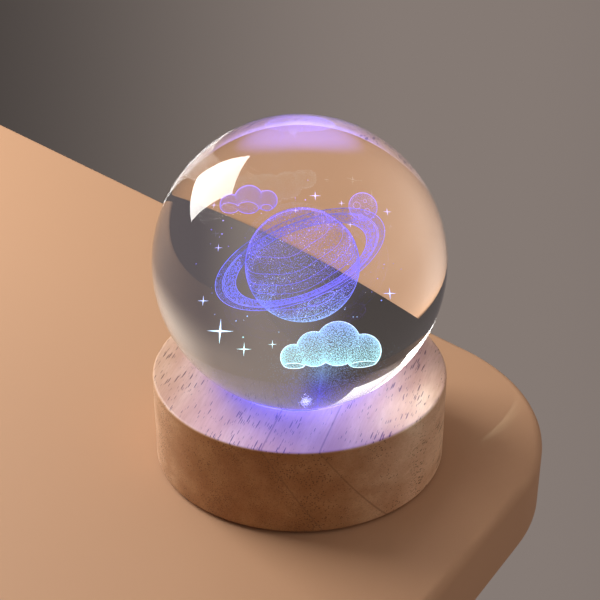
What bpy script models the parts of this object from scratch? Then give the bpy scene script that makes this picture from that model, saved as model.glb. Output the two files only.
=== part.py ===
"""Night lamp: a clear glass ball on a round wooden base with LEDs under it.

The ball lies loose in a seat turned to its own radius in the top of the base. A ringed planet, two clouds and
a moon are engraved inside it, each a closed form in a hollow of the glass. Under the seat a clear window covers
three colour LEDs on a round board. The board also carries a USB-C charging inlet and a side-push switch, which
both face through the rear wall. A flat rechargeable cell lies in a cradle on the bottom cover, which is screwed
into a rebate in the wood.

Metres, +Z up. The origin lies on the table under the ball's centre. The front is -Y, the inlet faces +Y.
"""

import math

import bmesh
import bpy
from mathutils import Matrix, Vector

# Gaps and overruns
fit_gap = 0.0003
solder_gap = 0.00005
slide_gap = 0.00015
thread_gap = 0.0001
cut_overrun = 0.0020
root_depth = 0.0005
weld_distance = 0.000001

# Glass ball
ball_diameter = 0.0800

# Picture engraved inside the ball
engraving_diameter = 0.0400
engraving_bore = 0.0006
planet_ring_thickness = 0.0008

# Wooden base
base_diameter = 0.0830
base_wall = 0.0090
base_web = 0.0040
base_edge_round = 0.0008
seat_rim_diameter = 0.0450
seat_land_width = 0.0020
recess_fillet = 0.0015
foot_proud = 0.0008
cover_rim_width = 0.0025
pocket_corner = 0.0010
pocket_side_room = 0.0010
pocket_head_room = 0.0004

# Window over the LEDs
window_wall = 0.0017
window_flange_rim = 0.0025
window_flange_thickness = 0.0012
window_rise = 0.0015
window_lip = 0.0003
window_led_head_room = 0.0012
window_led_side_room = 0.0008
window_ball_room = 0.0009

# Bottom cover
cover_thickness = 0.0020
cover_set_in = 0.0003
cover_edge = 0.0004
ring_height = 0.0022
ring_thickness = 0.0015
rib_height = 0.0015
rib_thickness = 0.0010
rib_cell_room = 0.0030
cradle_height = 0.0030
cradle_thickness = 0.0012
cradle_arm = 0.0080
cradle_ring_room = 0.0030

# Cover screws
cover_screw_length = 0.0080
cover_screw_shank = 0.0022
cover_screw_head = 0.0040
cover_screw_cone = 0.0010
cover_screw_lip = 0.0002
cover_screw_edge = 0.0008
cover_pilot_extra = 0.0006

# Feet
foot_diameter = 0.0090
foot_pocket_depth = 0.0007
foot_edge = 0.0003
foot_inset = 0.0027

# Circuit board
board_thickness = 0.0016
board_margin = 0.0030
board_tab_side = 0.0010
component_room = 0.0028

# Board screws
board_screw_length = 0.0050
board_screw_shank = 0.0020
board_screw_head = 0.0036
board_screw_head_height = 0.0013
board_screw_head_round = 0.0004
board_screw_inset = 0.0035
board_hole_extra = 0.0006
board_pilot_extra = 0.0004

# Cross recess in every screw head
cross_width = 0.0005
cross_span = 0.0021
cross_depth = 0.0007

# LEDs
led_side = 0.0050
led_height = 0.0015
led_spacing = 0.0003
led_well_diameter = 0.0038
led_well_depth = 0.0004
led_edge = 0.0002

# Chips
chip_length = 0.0049
chip_width = 0.0039
chip_height = 0.0015
chip_edge = 0.0002
lead_pitch = 0.00127
lead_width = 0.0004
lead_thickness = 0.0002
lead_reach = 0.0010
lead_foot = 0.0005

# Chip resistors and capacitors
resistor_length = 0.0020
resistor_width = 0.00125
resistor_height = 0.0005
capacitor_length = 0.0032
capacitor_width = 0.0016
capacitor_height = 0.0012
end_cap_length = 0.0004
end_cap_step = 0.00005

# USB-C inlet
usb_width = 0.00894
usb_height = 0.00326
usb_length = 0.0073
usb_metal = 0.0003
usb_insulator = 0.0015
usb_tongue_width = 0.0067
usb_tongue_thickness = 0.0007
usb_tongue_set_back = 0.0005
usb_mouth_set_back = 0.0003
usb_flat_depth = 0.0012
usb_flat_rim = 0.0020
usb_wall = 0.0035

# Switch and button
switch_width = 0.0070
switch_depth = 0.0035
switch_height = 0.0033
switch_edge = 0.0002
plunger_width = 0.0030
plunger_height = 0.0012
plunger_length = 0.0026
plunger_reach = 0.0010
button_diameter = 0.0054
button_proud = 0.0006
button_edge_round = 0.0004
button_flange_rim = 0.0009
button_flange_thickness = 0.0008
button_stem_diameter = 0.0030
button_stem_length = 0.0012
button_wall = 0.0035
button_travel = 0.0005

# Cell, foam and connector
cell_width = 0.0300
cell_thickness = 0.0050
cell_corner = 0.0014
cell_offset = -0.0010
terrace_length = 0.0035
terrace_side_step = 0.0030
terrace_thickness = 0.0022
foam_thickness = 0.0006
foam_inset = 0.0030
header_length = 0.0046
header_width = 0.0060
header_height = 0.0034
header_wall = 0.0006
plug_length = 0.0050
plug_room = 0.0001
wire_diameter = 0.0010
wire_plug_pitch = 0.00165
wire_cell_pitch = 0.0030
wire_lane = 0.0022

# Counts and directions, in degrees from +X round to +Y
ball_sides = 40
base_sides = 64
disc_sides = 32
small_sides = 24
planet_sides = 18
tiny_sides = 12
lobe_sides = 10
bore_sides = 6
corner_steps = 3
planet_steps = 5
dome_steps = 4
wire_points = 16
led_count = 3
screw_count = 3
foot_count = 4
rib_count = 12
inlet_direction = 90
button_direction = 60
cover_screw_direction = 30
board_screw_directions = (20, 140, 290)
foot_direction = 45
planet_tilt = 20
sharp_angle = 35

# The engraved picture. Places (x, y, z) and radii are shares of its radius, from the ball's centre
planet_centre_shares = (0.025, 0.0, -0.025)
planet_radius_share = 0.51
moon_centre_shares = (0.61, 0.0, 0.61)
moon_radius_share = 0.14
low_cloud_shares = (
    (0.35, -0.325, -0.66, 0.205),
    (0.13, -0.325, -0.71, 0.16),
    (-0.05, -0.325, -0.79, 0.12),
    (0.575, -0.325, -0.75, 0.17),
)
low_cloud_foot_share = -0.87
high_cloud_shares = (
    (-0.47, 0.2, 0.55, 0.135),
    (-0.64, 0.2, 0.50, 0.095),
    (-0.30, 0.2, 0.535, 0.095),
)
high_cloud_foot_share = 0.455

# Inner and outer radius of the planet's ring, as shares of the planet's radius
planet_ring_shares = (1.22, 1.58)

# Places of the small parts under the board, as shares of the board's radius
control_chip_shares = (0.32, -0.10)
charge_chip_shares = (0.0, 0.72)
resistor_shares = ((-0.36, 0.20), (-0.24, 0.20), (-0.12, 0.20))
capacitor_shares = ((-0.30, 0.74), (0.26, 0.70))

# Heights, worked up from the table to the ball
wood_bottom = foot_proud
cover_bottom = wood_bottom + cover_set_in
cover_top = cover_bottom + cover_thickness
rebate_top = cover_top + fit_gap
foam_bottom = cover_top + fit_gap
cell_bottom = foam_bottom + foam_thickness + fit_gap
cell_top = cell_bottom + cell_thickness
board_bottom = cell_top + component_room
board_top = board_bottom + board_thickness
cavity_top = board_top + fit_gap
recess_floor = cavity_top + base_web
window_top = recess_floor + window_rise
ball_radius = ball_diameter / 2
ball_centre = window_top + window_ball_room + ball_radius
seat_radius = ball_radius + fit_gap
seat_rim_radius = seat_rim_diameter / 2
base_top = ball_centre - math.sqrt(seat_radius**2 - seat_rim_radius**2)
engraving_radius = engraving_diameter / 2
planet_radius = planet_radius_share * engraving_radius
moon_radius = moon_radius_share * engraving_radius
planet_ring_inner = planet_ring_shares[0] * planet_radius
planet_ring_outer = planet_ring_shares[1] * planet_radius
solder_level = board_bottom - solder_gap
usb_level = solder_level - usb_height / 2
switch_level = solder_level - switch_height / 2

# Radii, worked in from the outside of the wood
base_radius = base_diameter / 2
rebate_radius = base_radius - cover_rim_width
cover_radius = rebate_radius - fit_gap
cavity_radius = base_radius - base_wall
ring_radius = cavity_radius - fit_gap
ring_inner = ring_radius - ring_thickness
board_radius = cavity_radius - board_margin
recess_radius = seat_rim_radius - seat_land_width
led_circle = (led_side / 2) * (1 + 1 / math.tan(math.pi / led_count)) + led_spacing
led_reach = math.hypot(led_circle + led_side / 2, led_side / 2)
window_hollow_radius = led_reach + window_led_side_room
window_radius = window_hollow_radius + window_wall
window_flange_radius = window_radius + window_flange_rim
cover_screw_circle = cover_radius - cover_screw_edge - fit_gap - cover_screw_head / 2
board_screw_circle = board_radius - board_screw_inset
foot_circle = cover_radius - foot_inset - foot_diameter / 2

# The cell, as long as its cradle's corners leave room for inside the ring
cradle_half_width = cell_width / 2 + abs(cell_offset) + fit_gap + cradle_thickness
cradle_half_length = math.sqrt((ring_inner - cradle_ring_room) ** 2 - cradle_half_width**2)
cell_length = 2 * (cradle_half_length - fit_gap - cradle_thickness)
cell_side = cell_width / 2 - cell_offset
terrace_width = cell_width - 2 * terrace_side_step

# Places along the inlet's and the button's own directions, out from the centre
usb_flat = base_radius - usb_flat_depth
usb_mouth = usb_flat - usb_mouth_set_back
usb_pocket = usb_flat - usb_wall
usb_tab_reach = usb_pocket - fit_gap
usb_tab_width = usb_width + 2 * board_tab_side
button_pocket = base_radius - button_wall
flange_outside = button_pocket - fit_gap
stem_end = flange_outside - button_flange_thickness - button_stem_length
plunger_tip = stem_end - fit_gap
switch_front = plunger_tip - plunger_reach
switch_tab_width = switch_width + 2 * board_tab_side
button_flange_radius = button_diameter / 2 + button_flange_rim


def clear_scene():
    for obj in list(bpy.data.objects):
        bpy.data.objects.remove(obj, do_unlink=True)


def finish(name, colour, roughness, metallic=0.0, transmission=0.0):
    """A Principled material with the colour, roughness and metallic value of one real finish."""
    material = bpy.data.materials.new(name)
    material.use_nodes = True
    shader = material.node_tree.nodes["Principled BSDF"]
    shader.inputs["Base Color"].default_value = (*colour, 1.0)
    shader.inputs["Roughness"].default_value = roughness
    shader.inputs["Metallic"].default_value = metallic
    shader.inputs["Transmission Weight"].default_value = transmission
    material.diffuse_color = (*colour, 1.0)
    return material


def place(name, bm, material, at=(0, 0, 0), turn=0.0, parent=None):
    """Puts a finished bmesh into the scene as one named object, turned about Z by turn degrees."""
    mesh = bpy.data.meshes.new(name)
    bm.normal_update()
    bmesh.ops.recalc_face_normals(bm, faces=bm.faces)
    bm.to_mesh(mesh)
    bm.free()
    mesh.shade_smooth()
    mesh.set_sharp_from_angle(angle=math.radians(sharp_angle))
    obj = bpy.data.objects.new(name, mesh)
    bpy.context.scene.collection.objects.link(obj)
    obj.location = at
    obj.rotation_euler.z = math.radians(turn)
    obj.parent = parent
    if material:
        mesh.materials.append(material)
    return obj


def boolean(obj, helper, operation):
    """Adds a live Boolean to obj. The helper stays in the scene as a hidden wire shape."""
    helper.hide_render = True
    helper.display_type = "WIRE"
    modifier = obj.modifiers.new(helper.name, "BOOLEAN")
    modifier.operation = operation
    modifier.solver = "EXACT"
    modifier.object = helper


def cut(obj, name, bm, at=(0, 0, 0), turn=0.0, parent=None):
    boolean(obj, place(name, bm, None, at, turn, parent), "DIFFERENCE")


def join(obj, name, bm, at=(0, 0, 0), turn=0.0, parent=None):
    boolean(obj, place(name, bm, None, at, turn, parent), "UNION")


def bevel_edges(obj, width, segments=2):
    modifier = obj.modifiers.new("edges", "BEVEL")
    modifier.width = width
    modifier.segments = segments
    modifier.limit_method = "ANGLE"
    modifier.angle_limit = math.radians(sharp_angle)


def polar(radius, degrees, height=0.0):
    angle = math.radians(degrees)
    return (radius * math.cos(angle), radius * math.sin(angle), height)


def arc(centre, radius, start, end, steps):
    """Points on a circular arc from start to end degrees, both ends included."""
    angles = [math.radians(start + (end - start) * i / steps) for i in range(steps + 1)]
    return [(centre[0] + radius * math.cos(a), centre[1] + radius * math.sin(a)) for a in angles]


def turned(profile, sides, closed=False):
    """A solid of revolution about Z. Its (radius, height) points start and end on the axis, or close."""
    bm = bmesh.new()
    points = [bm.verts.new((radius, 0, height)) for radius, height in profile]
    pairs = list(zip(points, points[1:]))
    if closed:
        pairs.append((points[-1], points[0]))
    edges = [bm.edges.new(pair) for pair in pairs]
    bmesh.ops.spin(
        bm, geom=points + edges, cent=(0, 0, 0), axis=(0, 0, 1), angle=math.tau, steps=sides, use_merge=True
    )
    bmesh.ops.remove_doubles(bm, verts=bm.verts, dist=weld_distance)
    return bm


def prism(outline, low, high):
    """A straight extrusion of a flat (x, y) outline between two heights."""
    bm = bmesh.new()
    face = bm.faces.new([bm.verts.new((x, y, low)) for x, y in outline])
    grown = bmesh.ops.extrude_face_region(bm, geom=[face])["geom"]
    raised = [item for item in grown if isinstance(item, bmesh.types.BMVert)]
    bmesh.ops.translate(bm, verts=raised, vec=(0, 0, high - low))
    return bm


def lay_along_x(bm):
    """Turns a shape so that its +Z points along +X and its +Y points up."""
    for vert in bm.verts:
        vert.co = Vector((vert.co.z, vert.co.x, vert.co.y))
    return bm


def block(low, high):
    """A box between two opposite corners."""
    outline = [(low[0], low[1]), (high[0], low[1]), (high[0], high[1]), (low[0], high[1])]
    return prism(outline, low[2], high[2])


def merged(parts):
    """One bmesh that holds several separate shapes."""
    whole = bmesh.new()
    for part in parts:
        mesh = bpy.data.meshes.new("part")
        part.to_mesh(mesh)
        part.free()
        whole.from_mesh(mesh)
        bpy.data.meshes.remove(mesh)
    return whole


def rounded_outline(width, height, radius, steps):
    """A rectangle about the origin with round corners. With radius = height / 2 it is a slot."""
    x = width / 2 - radius
    y = height / 2 - radius
    corners = [((x, y), 0), ((-x, y), 90), ((-x, -y), 180), ((x, -y), 270)]
    points = [point for centre, start in corners for point in arc(centre, radius, start, start + 90, steps)]
    return [point for i, point in enumerate(points) if math.dist(point, points[i - 1]) > weld_distance]


def slot_outline(width, height, margin=0.0):
    """A slot with half-round ends, grown by margin all round, or shrunk by a negative one."""
    tall = height + 2 * margin
    return rounded_outline(width + 2 * margin, tall, tall / 2, corner_steps)


def cylinder(diameter, low, high, sides):
    return turned([(0, high), (diameter / 2, high), (diameter / 2, low), (0, low)], sides)


def cross_recess(low, high):
    """Two crossed bars, the driver's recess of a screw."""
    bars = []
    for width, span in ((cross_width, cross_span), (cross_span, cross_width)):
        bars.append(block((-width / 2, -span / 2, low), (width / 2, span / 2, high)))
    return bars


def pocket(width, inner, outer, low, high):
    """A milled pocket with round corners at its outer end, running out along +X."""
    half = width / 2
    near = arc((outer - pocket_corner, -half + pocket_corner), pocket_corner, -90, 0, corner_steps)
    far = arc((outer - pocket_corner, half - pocket_corner), pocket_corner, 0, 90, corner_steps)
    return prism([(inner, -half)] + near + far + [(inner, half)], low, high)


def make_wooden_base(material):
    """The turned body: rounded outside, ball seat, stepped window bore, cavity and cover rebate below."""
    edge = base_edge_round
    outside = base_radius - edge
    seat_start = math.degrees(math.asin(seat_rim_radius / seat_radius))
    seat_end = math.degrees(math.asin(recess_radius / seat_radius))
    land = arc((0, ball_centre), seat_radius, seat_start - 90, seat_end - 90, corner_steps)
    fillet_centre = (recess_radius - recess_fillet, recess_floor + recess_fillet)
    bore_radius = window_radius + fit_gap
    step_radius = window_flange_radius + fit_gap
    step_level = cavity_top + window_flange_thickness + fit_gap
    profile = arc((outside, wood_bottom + edge), edge, -90, 0, corner_steps)
    profile += arc((outside, base_top - edge), edge, 0, 90, corner_steps)
    profile += land
    profile += arc(fillet_centre, recess_fillet, 0, -90, corner_steps)
    profile += [(bore_radius, recess_floor), (bore_radius, step_level), (step_radius, step_level)]
    profile += [(step_radius, cavity_top), (cavity_radius, cavity_top), (cavity_radius, rebate_top)]
    profile += [(rebate_radius, rebate_top), (rebate_radius, wood_bottom)]
    base = place("wooden_base", turned(profile, base_sides, closed=True), material)

    pocket_low = (wood_bottom + rebate_top) / 2
    pocket_high = cavity_top + pocket_head_room
    pocket_inner = cavity_radius - cut_overrun
    room = usb_tab_width + 2 * pocket_side_room
    shape = pocket(room, pocket_inner, usb_pocket, pocket_low, pocket_high)
    cut(base, "inlet_pocket", shape, turn=inlet_direction)
    room = max(switch_tab_width, 2 * button_flange_radius) + 2 * pocket_side_room
    pocket_high = max(cavity_top, switch_level + button_flange_radius) + pocket_head_room
    shape = pocket(room, pocket_inner, button_pocket, pocket_low, pocket_high)
    cut(base, "button_pocket", shape, turn=button_direction)

    past = base_radius + cut_overrun
    slot = slot_outline(usb_width, usb_height, fit_gap)
    shape = lay_along_x(prism(slot, usb_pocket - cut_overrun, past))
    cut(base, "inlet_slot", shape, at=(0, 0, usb_level), turn=inlet_direction)
    flat = slot_outline(usb_width, usb_height, fit_gap + usb_flat_rim)
    shape = lay_along_x(prism(flat, usb_flat, past))
    cut(base, "inlet_flat", shape, at=(0, 0, usb_level), turn=inlet_direction)
    hole = cylinder(button_diameter + 2 * fit_gap, button_pocket - cut_overrun, past, small_sides)
    cut(base, "button_hole", lay_along_x(hole), at=(0, 0, switch_level), turn=button_direction)

    pilot_top = cover_bottom + cover_screw_length + cover_pilot_extra
    pilot_width = cover_screw_shank + 2 * thread_gap
    pilots = cylinder(pilot_width, rebate_top - cut_overrun, pilot_top, tiny_sides)
    for i in range(screw_count):
        direction = cover_screw_direction + 360 * i / screw_count
        cut(base, f"cover_pilot_{i + 1}", pilots.copy(), at=polar(cover_screw_circle, direction))
    pilots.free()
    pilot_top = board_bottom - fit_gap + board_screw_length + board_pilot_extra
    pilots = cylinder(board_screw_shank + 2 * thread_gap, cavity_top - cut_overrun, pilot_top, tiny_sides)
    for i, direction in enumerate(board_screw_directions):
        cut(base, f"board_pilot_{i + 1}", pilots.copy(), at=polar(board_screw_circle, direction))
    pilots.free()


def sphere(radius, sides):
    bm = bmesh.new()
    bmesh.ops.create_uvsphere(bm, u_segments=sides, v_segments=sides // 2, radius=radius)
    return bm


def in_picture(shares):
    """A point of the engraved picture, from its shares of the picture's radius."""
    return Vector((0, 0, ball_centre)) + Vector(shares) * engraving_radius


def tilted(bm):
    """Tips a shape about Y by the planet's tilt, with its +X side up."""
    bmesh.ops.rotate(bm, verts=bm.verts, matrix=Matrix.Rotation(math.radians(-planet_tilt), 3, "Y"))
    return bm


def planet_hollow():
    """A sphere with a flat slot round it, clear of the planet and its ring by the fit gap."""
    radius = planet_radius + fit_gap
    half = planet_ring_thickness / 2 + fit_gap
    reach = planet_ring_outer + fit_gap
    rise = math.degrees(math.asin(half / radius))
    upper = arc((0, 0), radius, 90, rise, planet_steps)
    upper[0] = (0, radius)
    upper.append((reach, half))
    lower = [(x, -z) for x, z in reversed(upper)]
    return tilted(turned(upper + lower, planet_sides))


def cloud(name, lobe_shares, foot_share, margin, material):
    """Round lobes joined into one bank and cut flat at its foot, all grown by a margin."""
    for i, (*centre, share) in enumerate(lobe_shares):
        lobe = sphere(share * engraving_radius + margin, lobe_sides)
        if i == 0:
            bank = place(name, lobe, material, at=in_picture(centre))
        else:
            join(bank, f"{name}_lobe_{i + 1}", lobe, at=in_picture(centre))
    foot = foot_share * engraving_radius - margin
    reach = engraving_diameter
    cut(bank, f"{name}_foot", block((-reach, -reach, -reach), (reach, reach, foot)), at=(0, 0, ball_centre))
    return bank


def fine_bore(end):
    """A thin rod from the origin to a point."""
    rod = cylinder(engraving_bore, 0, end.length, bore_sides)
    bmesh.ops.rotate(rod, verts=rod.verts, matrix=end.to_track_quat("Z", "Y").to_matrix())
    return rod


def make_ball(material):
    """The loose glass ball. Its origin is its centre, on the line along which it lifts off. Fine bores from there
    join the engraving's hollows to the lowest point of the glass, so that its whole surface is one."""
    centre = Vector((0, 0, ball_centre))
    ball = place("crystal_ball", sphere(ball_radius, ball_sides), material, at=centre)
    cut(ball, "planet_hollow", planet_hollow(), at=in_picture(planet_centre_shares))
    cut(ball, "moon_hollow", sphere(moon_radius + fit_gap, tiny_sides), at=in_picture(moon_centre_shares))
    low_hollow = cloud("low_cloud_hollow", low_cloud_shares, low_cloud_foot_share, fit_gap, None)
    boolean(ball, low_hollow, "DIFFERENCE")
    high_hollow = cloud("high_cloud_hollow", high_cloud_shares, high_cloud_foot_share, fit_gap, None)
    boolean(ball, high_hollow, "DIFFERENCE")
    ends = {
        "bottom_bore": Vector((0, 0, -ball_radius - cut_overrun)),
        "moon_bore": in_picture(moon_centre_shares) - centre,
        "low_cloud_bore": in_picture(low_cloud_shares[0][:3]) - centre,
        "high_cloud_bore": in_picture(high_cloud_shares[0][:3]) - centre,
    }
    for name, end in ends.items():
        cut(ball, name, fine_bore(end), at=centre)


def make_engraving(material):
    """The ringed planet, its ring, the two clouds and the moon, each clear of the glass by the fit gap."""
    planet_centre = in_picture(planet_centre_shares)
    place("engraved_planet", tilted(sphere(planet_radius, planet_sides)), material, at=planet_centre)
    half = planet_ring_thickness / 2
    profile = [(planet_ring_inner, half), (planet_ring_outer, half)]
    profile += [(planet_ring_outer, -half), (planet_ring_inner, -half)]
    place("engraved_ring", tilted(turned(profile, planet_sides, closed=True)), material, at=planet_centre)
    cloud("engraved_low_cloud", low_cloud_shares, low_cloud_foot_share, 0.0, material)
    cloud("engraved_high_cloud", high_cloud_shares, high_cloud_foot_share, 0.0, material)
    place("engraved_moon", sphere(moon_radius, tiny_sides), material, at=in_picture(moon_centre_shares))


def make_window(material):
    """The clear window: low dome, neck through the web, flange under it and a hollow over the LEDs."""
    edge_level = recess_floor + window_lip
    sag = window_top - edge_level
    dome_radius = (window_radius**2 + sag**2) / (2 * sag)
    rim = math.degrees(math.asin(window_radius / dome_radius))
    profile = arc((0, window_top - dome_radius), dome_radius, 90, 90 - rim, dome_steps)
    profile[0] = (0, window_top)
    flange_top = cavity_top + window_flange_thickness
    hollow_top = board_top + solder_gap + led_height + window_led_head_room
    profile += [(window_radius, flange_top), (window_flange_radius, flange_top)]
    profile += [(window_flange_radius, cavity_top), (window_hollow_radius, cavity_top)]
    profile += [(window_hollow_radius, hollow_top), (0, hollow_top)]
    place("led_window", turned(profile, disc_sides), material)


def board_outline(tabs):
    """The round board's outline with a straight-sided tab at each (direction, width, reach)."""
    spans = []
    for direction, width, reach in sorted(tabs):
        half = math.degrees(math.asin(width / 2 / board_radius))
        spans.append((direction - half, direction + half, direction, width, reach))
    points = []
    for i, (start, end, direction, width, reach) in enumerate(spans):
        out = Vector(polar(1, direction)).xy
        side = Vector((-out.y, out.x))
        points.append(tuple(out * reach - side * width / 2))
        points.append(tuple(out * reach + side * width / 2))
        following = spans[i + 1][0] if i + 1 < len(spans) else spans[0][0] + 360
        steps = max(2, round(base_sides * (following - end) / 360))
        points += arc((0, 0), board_radius, end, following, steps)
    return points


def make_board(material):
    inlet_tab = (inlet_direction, usb_tab_width, usb_tab_reach)
    switch_tab = (button_direction, switch_tab_width, switch_front)
    outline = board_outline([inlet_tab, switch_tab])
    board = place("main_board", prism(outline, board_bottom, board_top), material)
    holes = cylinder(
        board_screw_shank + board_hole_extra, board_bottom - cut_overrun, board_top + cut_overrun, tiny_sides
    )
    for i, direction in enumerate(board_screw_directions):
        cut(board, f"board_hole_{i + 1}", holes.copy(), at=polar(board_screw_circle, direction))
    holes.free()


def make_leds(material):
    """Square LED packages with a round well, spaced round the window's centre."""
    level = board_top + solder_gap
    half = led_side / 2
    for i in range(led_count):
        direction = inlet_direction + 360 * i / led_count
        centre = polar(led_circle, direction, level)
        package = block((-half, -half, 0), (half, half, led_height))
        led = place(f"rgb_led_{i + 1}", package, material, at=centre, turn=direction)
        bevel_edges(led, led_edge, 1)
        well_floor = led_height - led_well_depth
        well = cylinder(led_well_diameter, well_floor, led_height + cut_overrun, small_sides)
        cut(led, f"led_well_{i + 1}", well, at=centre, turn=direction)


def make_chip(name, material, at, turn):
    """An eight-lead chip that hangs under the board: a moulded body and four bent leads on each side."""
    half_length = chip_length / 2
    half_width = chip_width / 2
    body_top = -lead_thickness
    body = block((-half_length, -half_width, body_top - chip_height), (half_length, half_width, body_top))
    chip = place(name, body, material, at=at, turn=turn)
    bevel_edges(chip, chip_edge, 1)
    middle = body_top - chip_height / 2
    inside = half_width - root_depth
    tip = half_width + lead_reach
    bend = tip - lead_foot
    side_view = [(inside, middle - lead_thickness), (bend, middle - lead_thickness), (bend, -lead_thickness)]
    side_view += [(tip, -lead_thickness), (tip, 0), (bend - lead_thickness, 0)]
    side_view += [(bend - lead_thickness, middle), (inside, middle)]
    leads = []
    for sign in (-1, 1):
        for i in range(4):
            start = (i - 1.5) * lead_pitch - lead_width / 2
            strip = lay_along_x(prism(side_view, start, start + lead_width))
            bmesh.ops.scale(strip, verts=strip.verts, vec=(1, sign, 1))
            leads.append(strip)
    join(chip, f"{name}_leads", merged(leads), at=at, turn=turn)


def make_chip_part(name, material, length, width, height, at, turn):
    """A two-ended chip part under the board, with end caps a little thicker than its body."""
    end = length / 2
    inner = end - end_cap_length
    step = end_cap_step
    top_line = [(-end, 0), (-inner, 0), (-inner, -step), (inner, -step), (inner, 0), (end, 0)]
    low_line = [(x, -height - z) for x, z in reversed(top_line)]
    bm = prism(top_line + low_line, -width / 2, width / 2)
    for vert in bm.verts:
        vert.co = Vector((vert.co.x, vert.co.z, vert.co.y))
    place(name, bm, material, at=at, turn=turn)


def make_usb(shell_material, tongue_material):
    """The inlet under the board: a metal slot-shaped tube, and the moulded block and tongue inside it."""
    back = usb_mouth - usb_length
    at = (0, 0, usb_level)
    tube = prism(slot_outline(usb_width, usb_height), back, usb_mouth)
    shell = place("usb_shell", lay_along_x(tube), shell_material, at, inlet_direction)
    bore = slot_outline(usb_width, usb_height, -usb_metal)
    hollow = lay_along_x(prism(bore, back - cut_overrun, usb_mouth + cut_overrun))
    cut(shell, "inlet_bore", hollow, at, inlet_direction)
    fill = slot_outline(usb_width, usb_height, -usb_metal - solder_gap)
    core = lay_along_x(prism(fill, back, back + usb_insulator))
    tongue = place("usb_tongue", core, tongue_material, at, inlet_direction)
    half_width = usb_tongue_width / 2
    half_height = usb_tongue_thickness / 2
    near = (back + root_depth, -half_width, -half_height)
    far = (usb_mouth - usb_tongue_set_back, half_width, half_height)
    join(tongue, "tongue_blade", block(near, far), at, inlet_direction)


def make_switch(housing_material, plunger_material, cap_material):
    """The side-push switch, with its plunger and the button cap on one axis through the wall."""
    at = (0, 0, switch_level)
    back = switch_front - switch_depth
    half_width = switch_width / 2
    half_height = switch_height / 2
    body = block((back, -half_width, -half_height), (switch_front, half_width, half_height))
    housing = place("switch_housing", body, housing_material, at, button_direction)
    bevel_edges(housing, switch_edge, 1)
    inner_end = plunger_tip - plunger_length
    slot_half = (plunger_width / 2 + slide_gap, plunger_height / 2 + slide_gap)
    slot_back = inner_end - button_travel - fit_gap
    slot = block((slot_back, -slot_half[0], -slot_half[1]), (plunger_tip, slot_half[0], slot_half[1]))
    cut(housing, "plunger_slot", slot, at, button_direction)

    axis = bpy.data.objects.new("button_axis", None)
    bpy.context.scene.collection.objects.link(axis)
    axis.location = at
    axis.rotation_euler.z = math.radians(button_direction)
    half = (plunger_width / 2, plunger_height / 2)
    blade = block((inner_end, -half[0], -half[1]), (plunger_tip, half[0], half[1]))
    place("switch_plunger", blade, plunger_material, parent=axis)
    outside = base_radius + button_proud
    edge = button_edge_round
    face = arc((button_diameter / 2 - edge, outside - edge), edge, 90, 0, corner_steps)
    profile = [(0, outside)] + face
    profile += [(button_diameter / 2, flange_outside), (button_flange_radius, flange_outside)]
    flange_inside = flange_outside - button_flange_thickness
    profile += [(button_flange_radius, flange_inside), (button_stem_diameter / 2, flange_inside)]
    profile += [(button_stem_diameter / 2, stem_end), (0, stem_end)]
    place("button_cap", lay_along_x(turned(profile, small_sides)), cap_material, parent=axis)


def make_cell(cell_material, foam_material):
    """The flat pouch cell with its narrower sealed end, lying on a foam pad."""
    at = (0, cell_offset, cell_bottom + cell_thickness / 2)
    half_length = cell_length / 2
    pouch = rounded_outline(cell_width, cell_thickness, cell_corner, corner_steps)
    body = lay_along_x(prism(pouch, -half_length + terrace_length, half_length))
    cell = place("battery_cell", body, cell_material, at=at)
    sealed = rounded_outline(terrace_width, terrace_thickness, terrace_thickness / 2, corner_steps)
    strip = lay_along_x(prism(sealed, -half_length, -half_length + terrace_length + root_depth))
    join(cell, "sealed_end", strip, at=at)
    length = cell_length - terrace_length - 2 * foam_inset
    width = cell_width - 2 * foam_inset
    pad = prism(rounded_outline(length, width, foam_thickness, corner_steps), 0, foam_thickness)
    place("battery_foam_pad", pad, foam_material, at=(terrace_length / 2, cell_offset, foam_bottom))


def bezier_route(start, start_pull, end, end_pull):
    """Points on the cubic curve that leaves start towards start_pull and arrives at end from end_pull."""
    points = []
    for i in range(wire_points + 1):
        t = i / wire_points
        weights = ((1 - t) ** 3, 3 * t * (1 - t) ** 2, 3 * t**2 * (1 - t), t**3)
        corners = (start, start_pull, end_pull, end)
        points.append(sum((Vector(c) * w for c, w in zip(corners, weights)), Vector()))
    return points


def make_wire(name, material, route):
    curve = bpy.data.curves.new(name, "CURVE")
    curve.dimensions = "3D"
    curve.bevel_depth = wire_diameter / 2
    curve.bevel_resolution = 2
    curve.use_fill_caps = True
    spline = curve.splines.new("POLY")
    spline.points.add(len(route) - 1)
    for point, place_at in zip(spline.points, route):
        point.co = (*place_at, 1)
    curve.materials.append(material)
    wire = bpy.data.objects.new(name, curve)
    bpy.context.scene.collection.objects.link(wire)


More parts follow.
